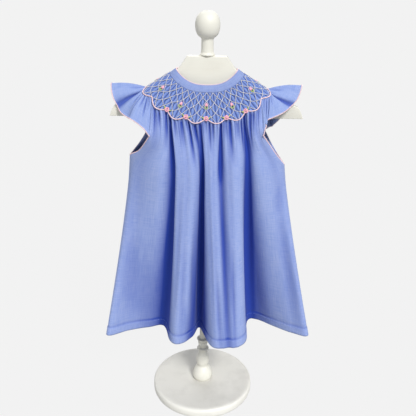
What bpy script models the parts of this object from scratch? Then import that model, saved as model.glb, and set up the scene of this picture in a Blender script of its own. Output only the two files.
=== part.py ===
"""An infant's smocked dress hanging on a turned display stand.

Metres, +Z up. The origin is the middle of the underside of the stand's base, and -Y is the front.
The dress is one closed wall for each piece of cloth: an outer grid of points and an inner one.
"""
import math

import bmesh
import bpy
import numpy as np

SEAM_GAP = 0.0003
CLOTH = 0.0012
BAND_CLOTH = 0.0018

# Stand, from the floor up
BASE_HEIGHT = 0.0175
BOARD_FOOT_Z = 0.4715
BOARD_TOP_Z = 0.5550
BOARD_THICKNESS = 0.016
BOARD_EDGE_ROUND = 0.0055

# Half of the shoulder board's outline: a short neck, a long slope and a round end
BOARD_OUTLINE = (
    # half_width, height
    (0.0270, 0.5550),
    (0.0300, 0.5515),
    (0.0337, 0.5460),
    (0.0402, 0.5374),
    (0.0505, 0.5296),
    (0.0810, 0.5095),
    (0.1220, 0.4905),
    (0.1310, 0.4835),
    (0.1364, 0.4715),
)

# Turned profiles: radius and height above the foot of the piece
POST_PROFILE = (
    (0.0100, 0.0000),
    (0.0148, 0.0030),
    (0.0160, 0.0110),
    (0.0146, 0.0190),
    (0.0098, 0.0235),
    (0.0090, 0.0262),
    (0.0106, 0.0330),
    (0.0098, 0.0430),
    (0.0070, 0.0530),
    (0.0062, 0.0560),
    (0.0096, 0.0580),
    (0.0098, 0.0600),
    (0.0064, 0.0625),
    (0.0078, 0.0680),
    (0.0092, 0.0745),
    (0.0096, 0.0770),
    (0.0070, 0.0785),
    (0.0058, 0.0810),
    (0.0055, 0.1000),
    (0.0058, 0.3000),
    (0.0062, 0.4300),
    (0.0110, 0.4380),
    (0.0115, BOARD_FOOT_Z - BASE_HEIGHT - 2 * SEAM_GAP),
)
BASE_PROFILE = (
    (0.0802, 0.0000),
    (0.0822, 0.0015),
    (0.0830, 0.0045),
    (0.0830, 0.0115),
    (0.0816, 0.0145),
    (0.0785, 0.0162),
    (0.0710, 0.0171),
    (0.0180, BASE_HEIGHT),
)
FINIAL_PROFILE = (
    (0.0100, 0.0000),
    (0.0103, 0.0014),
    (0.0092, 0.0032),
    (0.0085, 0.0060),
    (0.0083, 0.0140),
    (0.0084, 0.0225),
    (0.0096, 0.0240),
    (0.0122, 0.0258),
    (0.0146, 0.0290),
    (0.0163, 0.0335),
    (0.0170, 0.0390),
    (0.0166, 0.0450),
    (0.0148, 0.0503),
    (0.0112, 0.0545),
    (0.0060, 0.0570),
)

# Rings of the neck and yoke, on the side that faces the stand
RING_FULLNESS = 0.75
RING_DROP = 2.0
SHOULDER_CLEARANCE = 0.0007
RINGS = {
    # half_width, depth to the front, front height, depth to the back, back height
    "neck_edge": (0.0420, 0.0215, 0.5185, 0.0200, 0.5270),
    "band_foot": (0.0510, 0.0280, 0.5095, 0.0270, 0.5170),
    "yoke_foot": (0.0850, 0.0420, 0.4740, 0.0420, 0.4820),
}
BAND_SEAM = 0.0004

# The smocking: pleats drawn together on a lattice of diamonds, over a scalloped foot
SCALLOPS = 16
PLEATS_A_SCALLOP = 6
COLUMNS_A_PLEAT = 2
RING_COLUMNS = SCALLOPS * PLEATS_A_SCALLOP * COLUMNS_A_PLEAT
DIAMONDS = 32
HALF_DIAMOND_ROWS = 6
PLEAT_HEIGHT = 0.0013
# Height of a pleat at a knot of the lattice and between two knots, as shares of the full height
PLEAT_AT_KNOT = 0.70
PLEAT_LOOSE = 1.0
PLEAT_AT_BAND = 0.6
# About the width of one column of the yoke
COLUMN_WIDTH = 0.0022
PINCH = 0.085
SCALLOP_DEPTH = 0.085
SCALLOP_ROUNDNESS = 1.25
FOOT_SEAM = 0.010

# Columns of the ring where the raglan seams lie, counted from the middle of the front
SEAM_COLUMN = 36
SLEEVE_COLUMNS = 24

# Body of the dress
HEM_Z = 0.126
UNDERARM_Z = {"left": 0.413, "right": 0.402}
MIDDLE_BUST_Z = 0.409
SHOULDER_ROWS = (0.0, 0.25, 0.5, 0.75, 1.0)
SKIRT_ROWS = (0.09, 0.20, 0.34, 0.50, 0.67, 0.84, 1.0)
SPREAD_POWER = 1.1
SWAY_START_Z = 0.467
SWAY = 0.0235
GATHER_HEIGHTS = (0.0013, 0.0014, 0.0013, 0.0011, 0.0009, 0.0007, 0.0005, 0.0003, 0.0001, 0.0, 0.0, 0.0)

# Each row is one fold line, followed from the bust to the hem
FRONT_FOLDS = (
    # column, bust_x, bust_y, hem_x, hem_y
    (0, -0.1110, 0.0000, -0.1500, 0.0080),
    (3, -0.1060, -0.0170, -0.1605, -0.0370),
    (7, -0.0900, -0.0340, -0.1280, -0.0250),
    (10, -0.0680, -0.0455, -0.0980, -0.0150),
    (14, -0.0480, -0.0420, -0.0720, -0.0110),
    (17, -0.0415, -0.0505, -0.0595, -0.0480),
    (21, -0.0270, -0.0530, -0.0460, -0.0595),
    (26, -0.0130, -0.0510, -0.0265, -0.0410),
    (30, -0.0068, -0.0445, -0.0135, -0.0150),
    (34, -0.0005, -0.0505, 0.0030, -0.0570),
    (39, 0.0080, -0.0530, 0.0150, -0.0690),
    (44, 0.0190, -0.0465, 0.0335, -0.0665),
    (49, 0.0340, -0.0530, 0.0475, -0.0635),
    (53, 0.0465, -0.0500, 0.0610, -0.0410),
    (56, 0.0545, -0.0420, 0.0655, 0.0060),
    (60, 0.0640, -0.0415, 0.0830, 0.0135),
    (63, 0.0770, -0.0420, 0.1070, -0.0040),
    (66, 0.0940, -0.0320, 0.1350, -0.0230),
    (70, 0.1095, -0.0150, 0.1600, -0.0250),
    (72, 0.1130, 0.0000, 0.1510, 0.0120),
)
BACK_FOLDS = (
    # column, bust_x, bust_y, hem_x, hem_y
    (0, 0.1130, 0.0000, 0.1510, 0.0120),
    (5, 0.1040, 0.0250, 0.1520, 0.0420),
    (10, 0.0820, 0.0400, 0.1180, 0.0540),
    (15, 0.0620, 0.0400, 0.0880, 0.0370),
    (20, 0.0450, 0.0500, 0.0640, 0.0640),
    (26, 0.0310, 0.0450, 0.0450, 0.0500),
    (31, 0.0180, 0.0470, 0.0260, 0.0340),
    (36, 0.0000, 0.0500, 0.0000, 0.0640),
    (41, -0.0170, 0.0465, -0.0280, 0.0370),
    (46, -0.0330, 0.0500, -0.0500, 0.0660),
    (52, -0.0480, 0.0450, -0.0660, 0.0520),
    (57, -0.0620, 0.0400, -0.0880, 0.0320),
    (62, -0.0830, 0.0395, -0.1160, 0.0510),
    (67, -0.1030, 0.0240, -0.1500, 0.0400),
    (72, -0.1110, 0.0000, -0.1500, 0.0080),
)
# Columns that draw in towards the armhole, from the near side and from the far side
EDGE_REACH = {"front": (14, 12), "back": (15, 15)}
# How much of its roundness the cloth keeps beside the armhole
EDGE_ROUNDNESS = {"front": 0.9, "back": 0.6}
QUIET_COLUMNS = 9

# Armhole edges, from the end of the raglan seam to the underarm
ARMHOLES = {
    # seam end, then the middle of the curve
    ("front", "left"): ((-0.0765, -0.0445, 0.4535), (-0.0930, -0.0245, 0.4280)),
    ("front", "right"): ((0.0770, -0.0445, 0.4570), (0.0980, -0.0240, 0.4240)),
    ("back", "left"): ((-0.0860, 0.0420, 0.4450), (-0.0985, 0.0290, 0.4250)),
    ("back", "right"): ((0.0865, 0.0420, 0.4430), (0.0990, 0.0285, 0.4200)),
}
UNDERARMS = {
    "left": (-0.1110, 0.0, 0.4130),
    "right": (0.1130, 0.0, 0.4020),
}

# Free edge of each flutter sleeve: share of the way round from the front seam
SLEEVE_HEMS = {
    "left": (
        # share, x, y, z
        (0.00, -0.0765, -0.0445, 0.4535),
        (0.12, -0.0870, -0.0425, 0.4650),
        (0.24, -0.1030, -0.0385, 0.4755),
        (0.32, -0.1070, -0.0260, 0.4740),
        (0.39, -0.1190, -0.0165, 0.4800),
        (0.46, -0.1295, -0.0080, 0.4990),
        (0.53, -0.1328, 0.0040, 0.5138),
        (0.61, -0.1270, 0.0170, 0.4940),
        (0.69, -0.1140, 0.0270, 0.4670),
        (0.77, -0.1060, 0.0320, 0.4570),
        (0.87, -0.0985, 0.0415, 0.4500),
        (1.00, -0.0860, 0.0420, 0.4450),
    ),
    "right": (
        # share, x, y, z
        (0.00, 0.0770, -0.0445, 0.4570),
        (0.08, 0.0795, -0.0430, 0.4625),
        (0.16, 0.0815, -0.0405, 0.4690),
        (0.24, 0.0835, -0.0365, 0.4770),
        (0.31, 0.0900, -0.0320, 0.4785),
        (0.39, 0.1095, -0.0190, 0.4855),
        (0.46, 0.1250, -0.0085, 0.4990),
        (0.53, 0.1318, 0.0030, 0.5155),
        (0.62, 0.1240, 0.0180, 0.4900),
        (0.71, 0.1070, 0.0310, 0.4610),
        (0.79, 0.0990, 0.0355, 0.4520),
        (0.88, 0.0955, 0.0410, 0.4480),
        (1.00, 0.0865, 0.0420, 0.4430),
    ),
}
SLEEVE_ROWS = 6
SLEEVE_BULGE = 0.0035
SLEEVE_GATHER = 0.0010

# Back opening
PLACKET_HALF_WIDTH = 0.006
PLACKET_CLOTH = 0.0011
BUTTON_RADIUS = 0.0045
BUTTON_THICKNESS = 0.0022
BUTTON_SHARES = (0.10, 0.42, 0.74)


def clear_scene():
    for obj in list(bpy.data.objects):
        bpy.data.objects.remove(obj, do_unlink=True)


def make_material(name, colour, roughness):
    material = bpy.data.materials.new(name)
    material.use_nodes = True
    shader = material.node_tree.nodes["Principled BSDF"]
    shader.inputs["Base Color"].default_value = (*colour, 1.0)
    shader.inputs["Roughness"].default_value = roughness
    return material


def add_object(name, mesh, material, smooth_angle=50):
    mesh.materials.append(material)
    obj = bpy.data.objects.new(name, mesh)
    bpy.context.scene.collection.objects.link(obj)
    mesh.shade_smooth()
    mesh.set_sharp_from_angle(angle=math.radians(smooth_angle))
    return obj


def unit(vectors):
    vectors = np.asarray(vectors, float)
    lengths = np.linalg.norm(vectors, axis=-1, keepdims=True)
    return vectors / np.maximum(lengths, 1e-12)


def smooth_line(knots, values, at):
    """Values read at the places in `at` from a smooth line through the knots, with no overshoot past its slopes."""
    knots = np.asarray(knots, float)
    values = np.asarray(values, float)
    slopes = np.gradient(values, knots, axis=0)
    at = np.clip(at, knots[0], knots[-1])
    left = np.clip(np.searchsorted(knots, at, side="right") - 1, 0, len(knots) - 2)
    step = knots[left + 1] - knots[left]
    t = ((at - knots[left]) / step)[:, None]
    step = step[:, None]
    return (
        (2 * t**3 - 3 * t**2 + 1) * values[left]
        + (t**3 - 2 * t**2 + t) * step * slopes[left]
        + (3 * t**2 - 2 * t**3) * values[left + 1]
        + (t**3 - t**2) * step * slopes[left + 1]
    )


def turned(name, profile, foot_z, material, segments):
    """A solid of revolution round Z, closed by flat ends."""
    made = bmesh.new()
    rings = []
    for radius, height in profile:
        ring = []
        for step in range(segments):
            angle = 2 * math.pi * step / segments
            ring.append(made.verts.new((radius * math.cos(angle), radius * math.sin(angle), foot_z + height)))
        rings.append(ring)
    for low, high in zip(rings, rings[1:]):
        for step in range(segments):
            after = (step + 1) % segments
            made.faces.new((low[step], low[after], high[after], high[step]))
    made.faces.new(reversed(rings[0]))
    made.faces.new(rings[-1])
    mesh = bpy.data.meshes.new(name)
    made.to_mesh(mesh)
    made.free()
    return add_object(name, mesh, material)


def shoulder_board(material):
    """The outline is extruded through the thickness and its edges are rounded."""
    right = list(BOARD_OUTLINE)
    outline = [(-x, z) for x, z in right] + [(x, z) for x, z in reversed(right)]
    made = bmesh.new()
    front = [made.verts.new((x, -BOARD_THICKNESS / 2, z)) for x, z in outline]
    face = made.faces.new(front)
    grown = bmesh.ops.extrude_face_region(made, geom=[face])
    moved = [item for item in grown["geom"] if isinstance(item, bmesh.types.BMVert)]
    bmesh.ops.translate(made, vec=(0, BOARD_THICKNESS, 0), verts=moved)
    bmesh.ops.recalc_face_normals(made, faces=made.faces)
    mesh = bpy.data.meshes.new("shoulder_board")
    made.to_mesh(mesh)
    made.free()
    obj = add_object("shoulder_board", mesh, material, 35)
    rounding = obj.modifiers.new("edge_rounding", "BEVEL")
    rounding.width = BOARD_EDGE_ROUND
    rounding.segments = 3
    rounding.limit_method = "ANGLE"
    rounding.angle_limit = math.radians(60)
    return obj


def board_top(half_width):
    widths = [x for x, _ in BOARD_OUTLINE]
    heights = [z for _, z in BOARD_OUTLINE]
    return float(np.interp(half_width, widths, heights))


def full_power(value, power):
    return np.sign(value) * np.abs(value) ** power


def ring_shape(name):
    """Half width, side height and the depths and heights of the front and back of a ring."""
    half_width, front_depth, front_z, back_depth, back_z = RINGS[name]
    side_z = board_top(half_width) + SHOULDER_CLEARANCE
    return np.array([half_width, side_z, front_depth, front_z, back_depth, back_z])


def ring_points(shape, angle):
    """Points of one ring. Angle 0 is the middle of the front and a quarter turn is the +X side."""
    half_width, side_z, front_depth, front_z, back_depth, back_z = np.moveaxis(shape, -1, 0)
    across = full_power(np.sin(angle), RING_FULLNESS)
    towards_front = full_power(np.cos(angle), RING_FULLNESS)
    front = np.cos(angle) >= 0
    depth = np.where(front, front_depth, back_depth)
    low_z = np.where(front, front_z, back_z)
    drop = np.abs(np.cos(angle)) ** RING_DROP
    z = side_z - (side_z - low_z) * drop
    return np.stack([half_width * across, -depth * towards_front, z], axis=-1)


def angle_table():
    """Ring angle for each share of the way round the foot of the yoke, by length."""
    angles = np.linspace(-math.pi, math.pi, 4001)
    foot = ring_points(np.broadcast_to(ring_shape("yoke_foot"), (len(angles), 6)), angles)
    lengths = np.concatenate([[0], np.cumsum(np.linalg.norm(np.diff(foot, axis=0), axis=1))])
    middle = np.interp(0, angles, lengths)
    return (lengths - middle) / lengths[-1], angles


SHARES, ANGLES = angle_table()


def ring_angle(column):
    """The angle at a column of the yoke, where column 0 is the middle of the front."""
    share = np.asarray(column, float) / RING_COLUMNS
    share = (share + 0.5) % 1.0 - 0.5
    return np.interp(share, SHARES, ANGLES)


def yoke_base(column, down):
    """A point on the plain inner side of the yoke. Down runs from 0 at the band to 1 at the foot."""
    column, down = np.broadcast_arrays(np.asarray(column, float), np.asarray(down, float))
    shape = ring_shape("band_foot") + (ring_shape("yoke_foot") - ring_shape("band_foot")) * down[..., None]
    return ring_points(shape, ring_angle(column))


def yoke_normal(column, down):
    step = 0.02
    across = yoke_base(np.asarray(column) + step, down) - yoke_base(np.asarray(column) - step, down)
    along = yoke_base(column, np.asarray(down) + step) - yoke_base(column, np.asarray(down) - step)
    return unit(np.cross(along, across))


def foot_of_yoke(column):
    """How far down the smocking reaches: it ends in scallops."""
    wave = np.abs(np.sin(math.pi * SCALLOPS * np.asarray(column, float) / RING_COLUMNS)) ** SCALLOP_ROUNDNESS
    return 1 + SCALLOP_DEPTH * (2 * wave - 1)


def zip_edges(outer, inner, faces):
    """Triangles that join two edges, where the outer edge has a whole number of points for each inner one."""
    each = (len(outer) - 1) // (len(inner) - 1)
    for place in range(len(inner) - 1):
        start = place * each
        middle = start + each // 2
        for step in range(start, middle):
            faces.append((inner[place], outer[step], outer[step + 1]))
        faces.append((inner[place], outer[middle], inner[place + 1]))
        for step in range(middle, start + each):
            faces.append((inner[place + 1], outer[step], outer[step + 1]))


def closed_wall(name, outer, inner, material):
    """One closed wall between an outer grid of points and an inner grid, which may be coarser."""
    points = np.concatenate([outer.reshape(-1, 3), inner.reshape(-1, 3)])
    offset = outer.shape[0] * outer.shape[1]
    faces = []
    for grid, first in ((outer, 0), (inner, offset)):
        rows, columns = grid.shape[:2]
        for row in range(rows - 1):
            for column in range(columns - 1):
                corner = first + row * columns + column
                below = corner + columns
                faces.append((corner, corner + 1, below + 1))
                faces.append((corner, below + 1, below))
    outer_index = np.arange(offset).reshape(outer.shape[:2])
    inner_index = offset + np.arange(inner.shape[0] * inner.shape[1]).reshape(inner.shape[:2])
    for edge in (np.s_[0, :], np.s_[-1, :], np.s_[:, 0], np.s_[:, -1]):
        zip_edges(outer_index[edge].tolist(), inner_index[edge].tolist(), faces)
    mesh = bpy.data.meshes.new(name)
    mesh.from_pydata(points.tolist(), [], faces)
    made = bmesh.new()
    made.from_mesh(mesh)
    bmesh.ops.recalc_face_normals(made, faces=made.faces)
    if made.calc_volume(signed=True) < 0:
        bmesh.ops.reverse_faces(made, faces=made.faces)
    made.to_mesh(mesh)
    made.free()
    return add_object(name, mesh, material)


def grid_normals(grid, outside):
    """Unit normals of a grid of points, on the side that `outside` points to."""
    down = np.gradient(grid, axis=0)
    across = np.gradient(grid, axis=1)
    normals = unit(np.cross(down, across))
    middle = normals[grid.shape[0] // 2, grid.shape[1] // 2]
    return normals if np.dot(middle, outside) > 0 else -normals


def pinched_column(column, row):
    """Pleats lean towards the knots of the lattice, which change places from row to row."""
    place = np.asarray(column, float) * DIAMONDS / RING_COLUMNS
    lean = -PINCH * np.sin(2 * math.pi * place) * math.cos(math.pi * row)
    return column + lean * RING_COLUMNS / DIAMONDS


def smocked_yoke(name, first, last, material):
    """Pleats raised in the outer points, over a plain inside. The two ends are straight rims."""
    columns = np.arange(first, last + 1)
    inset = SEAM_GAP / COLUMN_WIDTH / 2
    ends = columns.astype(float)
    ends[0] += inset
    ends[-1] -= inset
    outer = []
    for row in range(HALF_DIAMOND_ROWS + 1):
        share = row / HALF_DIAMOND_ROWS
        leaned = pinched_column(columns, row) if row < HALF_DIAMOND_ROWS else columns.astype(float)
        leaned[0], leaned[-1] = ends[0], ends[-1]
        down = share * foot_of_yoke(leaned)
        place = columns * DIAMONDS / RING_COLUMNS
        knot = np.cos(2 * math.pi * place) * math.cos(math.pi * row)
        raised = (PLEAT_LOOSE + PLEAT_AT_KNOT) / 2 - (PLEAT_LOOSE - PLEAT_AT_KNOT) / 2 * knot
        if row == 0:
            raised = np.minimum(raised, PLEAT_AT_BAND)
        height = CLOTH + PLEAT_HEIGHT * (columns % 2) * raised
        outer.append(yoke_base(leaned, down) + yoke_normal(leaned, down) * height[:, None])
    inner_columns = ends[::COLUMNS_A_PLEAT]
    inner = [yoke_base(inner_columns, share * foot_of_yoke(inner_columns)) for share in (0.0, 0.5, 1.0)]
    return closed_wall(name, np.array(outer), np.array(inner), material)


def neck_band(material):
    """A folded strip round the neck, open at the middle of the back."""
    columns = np.linspace(-RING_COLUMNS / 2 + 0.4, RING_COLUMNS / 2 - 0.4, 73)
    angle = ring_angle(columns)
    rows = []
    for share in (0.0, 0.5, 1.0):
        shape = ring_shape("neck_edge") + (ring_shape("band_foot") - ring_shape("neck_edge")) * share
        rows.append(ring_points(np.broadcast_to(shape, (len(angle), 6)), angle))
    base = np.array(rows)
    slope = unit(base[2] - base[0])
    base[2] -= slope * BAND_SEAM
    normals = grid_normals(base, (0, -1, 0))
    bulge = np.array([0.82, 1.12, 0.95])[:, None, None] * BAND_CLOTH
    return closed_wall("neck_band", base + normals * bulge, base, material)


def sway(points):
    """The dress hangs a little to one side of the post."""
    moved = points.copy()
    moved[..., 0] += SWAY * np.maximum(0, SWAY_START_Z - points[..., 2])
    return moved


def yoke_edge(columns):
    """The top edge of a panel or sleeve, on its inner side, and the normals there."""
    down = foot_of_yoke(columns) + FOOT_SEAM
    return yoke_base(columns, down), yoke_normal(columns, down)


def seam_normal(points):
    """One direction for both pieces at a seam, so that their edges stay parallel."""
    return unit(points * np.array([1.0, 2.0, 0.0]))


def armhole_edge(face, side):
    """The five points of a panel's side from the yoke to the underarm."""
    column = SEAM_COLUMN if side == "right" else -SEAM_COLUMN
    if face == "back":
        column = RING_COLUMNS / 2 - SEAM_COLUMN if side == "right" else SEAM_COLUMN - RING_COLUMNS / 2
    top = yoke_edge(np.array([column]))[0][0]
    seam_end, curve = (np.array(point) for point in ARMHOLES[(face, side)])
    return np.array([top, (top + seam_end) / 2, seam_end, curve, UNDERARMS[side]])


def chord_pattern(points):
    """Plan of a run of points, as shares along and beside the straight line between its ends."""
    chord = points[-1, :2] - points[0, :2]
    away = points[:, :2] - points[0, :2]
    beside = np.array([-chord[1], chord[0]])
    return np.column_stack([away @ chord, away @ beside]) / (chord @ chord)


def drawn_in(top, bust, inner_end, edge, share, roundness):
    """Plan of a row between the armhole edge and the first column that the armhole doesn't move."""
    pattern = chord_pattern(top) * (1 - share) + chord_pattern(bust) * share
    chord = inner_end[:2] - edge[:2]
    beside = np.array([-chord[1], chord[0]])
    return edge[:2] + pattern[:, :1] * chord + pattern[:, 1:] * beside * roundness


def panel_grid(face, folds):
    """The cloth of the front or back, before its fine gathers: rows from the yoke to the hem."""
    knots = [row[0] for row in folds]
    columns = np.arange(knots[-1] + 1)
    bust = smooth_line(knots, [row[1:3] for row in folds], columns)
    hem = smooth_line(knots, [row[3:5] for row in folds], columns)
    if face == "front":
        ring_columns = columns - SEAM_COLUMN
        near_side, far_side = "left", "right"
    else:
        ring_columns = RING_COLUMNS / 2 - SEAM_COLUMN + columns
        near_side, far_side = "right", "left"
    top, _ = yoke_edge(ring_columns)
    last = columns[-1]
    near_reach, far_reach = EDGE_REACH[face]
    near = np.clip(1 - columns / near_reach, 0, 1) ** 2
    far = np.clip(1 - (last - columns) / far_reach, 0, 1) ** 2
    bust_z = MIDDLE_BUST_Z + (UNDERARM_Z[near_side] - MIDDLE_BUST_Z) * near
    bust_z = bust_z + (UNDERARM_Z[far_side] - MIDDLE_BUST_Z) * far
    bust_points = np.column_stack([bust, bust_z])
    near_edge = armhole_edge(face, near_side)
    far_edge = armhole_edge(face, far_side)
    near_drawn = slice(0, near_reach + 1)
    far_drawn = slice(None, -far_reach - 2, -1)
    roundness = EDGE_ROUNDNESS[face]
    rows = []
    for place, share in enumerate(SHOULDER_ROWS):
        row = top + (bust_points - top) * share
        row[:, 2] += (near_edge[place][2] - row[0, 2]) * near + (far_edge[place][2] - row[-1, 2]) * far
        if 0 < share < 1:
            for drawn, edge in ((near_drawn, near_edge[place]), (far_drawn, far_edge[place])):
                inner_end = row[drawn][-1]
                row[drawn, :2] = drawn_in(top[drawn], bust_points[drawn], inner_end, edge, share, roundness)
        rows.append(row)
    for share in SKIRT_ROWS:
        x = bust[:, 0] + (hem[:, 0] - bust[:, 0]) * share**SPREAD_POWER
        y = bust[:, 1] + (hem[:, 1] - bust[:, 1]) * share
        rows.append(np.column_stack([x, y, bust_z + (HEM_Z - bust_z) * share]))
    return np.array(rows), ring_columns


def gathered(grid, normals, heights, ring_columns, quiet):
    """Raises each second column, so that the pleats of the yoke run on and fade out."""
    height = np.asarray(heights)[:, None] * (ring_columns % 2)[None, :]
    uneven = 0.75 + 0.25 * np.sin(ring_columns * 1.7) * np.sin(ring_columns * 0.61 + 1.0)
    facing = np.clip(np.abs(normals[..., 1]) * 1.3 - 0.3, 0, 1)
    height = height * uneven[None, :] * quiet[None, :] * facing
    return grid + normals * (CLOTH + height)[..., None], grid + normals * height[..., None]


def eased_normals(normals, edges, top_normals):
    """Turns the normals of a grid towards those of its seams over the few columns and rows next to them."""
    eased = normals.copy()
    for edge, columns in zip(edges, (range(4), range(-1, -5, -1))):
        for step, column in enumerate(columns):
            share = step / 4
            eased[:, column] = unit(edge * (1 - share) + normals[:, column] * share)
    eased[1] = unit(eased[1] + 0.5 * top_normals)
    for edge, column in zip(edges, (0, -1)):
        eased[1:, column] = edge[1:]
    eased[0] = top_normals
    return eased


def open_seams(grid, normals):
    """Moves the two side edges of a grid inwards, square to the seam, by half of the gap there."""
    for column, beside in ((0, 1), (-1, -2)):
        along = np.gradient(grid[:, column], axis=0)
        square = unit(np.cross(normals[:, column], along))
        towards = np.sign(np.sum(square * (grid[:, beside] - grid[:, column]), axis=1, keepdims=True))
        grid[:, column] += square * towards * SEAM_GAP * 0.6


def body_panel(face, folds, material):
    grid, ring_columns = panel_grid(face, folds)
    outside = (0, -1, 0) if face == "front" else (0, 1, 0)
    normals = grid_normals(grid, outside)
    edges = []
    for column in (0, -1):
        side = np.array([np.sign(grid[-1, column, 0]), 0.0, 0.0])
        edge = np.repeat(side[None, :], len(grid), axis=0)
        edge[:3] = seam_normal(grid[:3, column])
        edge[3] = unit(edge[2] + side)
        edges.append(edge)
    top_normals = yoke_normal(ring_columns, foot_of_yoke(ring_columns))
    normals = eased_normals(normals, edges, top_normals)
    open_seams(grid, normals)
    columns = np.arange(grid.shape[1])
    quiet = np.clip(np.minimum(columns, columns[::-1]) / QUIET_COLUMNS, 0, 1)
    if face == "back":
        quiet = np.where(np.abs(columns - SEAM_COLUMN) <= 4, 0.0, quiet)
    outer, inner = gathered(grid, normals, GATHER_HEIGHTS, ring_columns, quiet)
    return closed_wall(f"{face}_panel", sway(outer), sway(inner), material), sway(outer)


def sleeve_grid(side):
    """Spokes of cloth from the yoke to the free edge, slightly arched."""
    shares = np.linspace(0, 1, SLEEVE_COLUMNS + 1)
    table = SLEEVE_HEMS[side]
    hem = smooth_line([row[0] for row in table], [row[1:4] for row in table], shares)
    if side == "right":
        ring_columns = SEAM_COLUMN + np.arange(SLEEVE_COLUMNS + 1)
    else:
        ring_columns = -SEAM_COLUMN - np.arange(SLEEVE_COLUMNS + 1)
    top, top_normals = yoke_edge(ring_columns)
    arch = SLEEVE_BULGE * np.sin(math.pi * shares) ** 0.5
    rows = []
    for place in range(SLEEVE_ROWS + 1):
        share = place / SLEEVE_ROWS
        row = top + (hem - top) * share
        rows.append(row + top_normals * (arch * math.sin(math.pi * share))[:, None])
    return np.array(rows), ring_columns, top_normals


def sleeve(side, material):
    grid, ring_columns, top_normals = sleeve_grid(side)
    normals = grid_normals(grid, (0, 0, 1))
    normals = eased_normals(normals, [seam_normal(grid[:, column]) for column in (0, -1)], top_normals)
    open_seams(grid, normals)
    fade = (1 - np.linspace(0, 1, SLEEVE_ROWS + 1)) ** 1.5
    quiet = np.clip(4 * np.sin(math.pi * np.linspace(0, 1, len(ring_columns))) ** 2, 0, 1)
    outer, inner = gathered(grid, normals, fade * SLEEVE_GATHER, ring_columns, quiet)
    return closed_wall(f"sleeve_{side}", sway(outer), sway(inner), material)


def back_placket(back_outer, material):
    """A strip over the back opening, made from the points of the yoke and the back panel, moved out."""
    middle = RING_COLUMNS / 2
    across = np.linspace(-1, 1, 5)
    reach = PLACKET_HALF_WIDTH / COLUMN_WIDTH
    clear = CLOTH + PLEAT_HEIGHT + SEAM_GAP
    rows = []
    for down in (0.04, 0.28, 0.52, 0.76, 1.0):
        columns = middle + across * reach
        rows.append(yoke_base(columns, down) + yoke_normal(columns, down) * clear)
    panel_rows = back_outer[1:4, SEAM_COLUMN]
    for place, point in enumerate(panel_rows):
        row = np.repeat(point[None, :], 5, axis=0)
        row[:, 0] += across * -PLACKET_HALF_WIDTH
        row[:, 1] += SEAM_GAP + 0.0009 * (1 - place / 3)
        rows.append(row)
    base = np.array(rows)
    normals = grid_normals(base, (0, 1, 0))
    made = closed_wall("back_placket", base + normals * PLACKET_CLOTH, base, material)
    return made, base + normals * PLACKET_CLOTH


def back_buttons(placket_outer, material):
    """Three flat buttons down the middle of the placket."""
    line = placket_outer[:, 2]
    lengths = np.concatenate([[0], np.cumsum(np.linalg.norm(np.diff(line, axis=0), axis=1))])
    for number, share in enumerate(BUTTON_SHARES, start=1):
        at = share * lengths[-1]
        place = np.array([np.interp(at, lengths, line[:, axis]) for axis in range(3)])
        before = np.array([np.interp(at - 0.004, lengths, line[:, axis]) for axis in range(3)])
        after = np.array([np.interp(at + 0.004, lengths, line[:, axis]) for axis in range(3)])
        along = unit(after - before)
        out = unit(np.cross(along, (1.0, 0.0, 0.0)))
        out = out if out[1] > 0 else -out
        centre = place + out * (SEAM_GAP + BUTTON_THICKNESS / 2)
        made = bmesh.new()
        bmesh.ops.create_cone(
            made,
            cap_ends=True,
            segments=16,
            radius1=BUTTON_RADIUS,
            radius2=BUTTON_RADIUS * 0.86,
            depth=BUTTON_THICKNESS,
        )
        frame = np.column_stack([(1.0, 0.0, 0.0), np.cross(out, (1.0, 0.0, 0.0)), out])
        for vert in made.verts:
            vert.co = centre + frame @ np.array(vert.co)
        mesh = bpy.data.meshes.new(f"back_button_{number}")
        made.to_mesh(mesh)
        made.free()
        add_object(f"back_button_{number}", mesh, material)


def build():
    clear_scene()
    blue = make_material("blue_cotton", (0.25, 0.35, 0.72), 0.85)
    ivory = make_material("ivory_paint", (0.82, 0.80, 0.70), 0.45)
    pearl = make_material("pearl_button", (0.85, 0.86, 0.88), 0.3)

    turned("stand_base", BASE_PROFILE, 0.0, ivory, 40)
    turned("stand_post", POST_PROFILE, BASE_HEIGHT + SEAM_GAP, ivory, 16)
    shoulder_board(ivory)
    turned("finial", FINIAL_PROFILE, BOARD_TOP_Z + SEAM_GAP, ivory, 20)

    neck_band(blue)
    quarter = RING_COLUMNS // 4
    half = RING_COLUMNS // 2
    smocked_yoke("smocked_yoke_front", -quarter, quarter, blue)
    smocked_yoke("smocked_yoke_back_right", quarter, half, blue)
    smocked_yoke("smocked_yoke_back_left", -half, -quarter, blue)
    body_panel("front", FRONT_FOLDS, blue)
    _, back_outer = body_panel("back", BACK_FOLDS, blue)
    sleeve("left", blue)
    sleeve("right", blue)
    _, placket_outer = back_placket(back_outer, blue)
    back_buttons(placket_outer, pearl)


build()
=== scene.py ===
"""Looks of an infant's smocked dress on a turned display stand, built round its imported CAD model.

Metres, +Z up, and -Y is the front. The origin is the middle of the underside of the stand's base.
"""
import math

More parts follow.
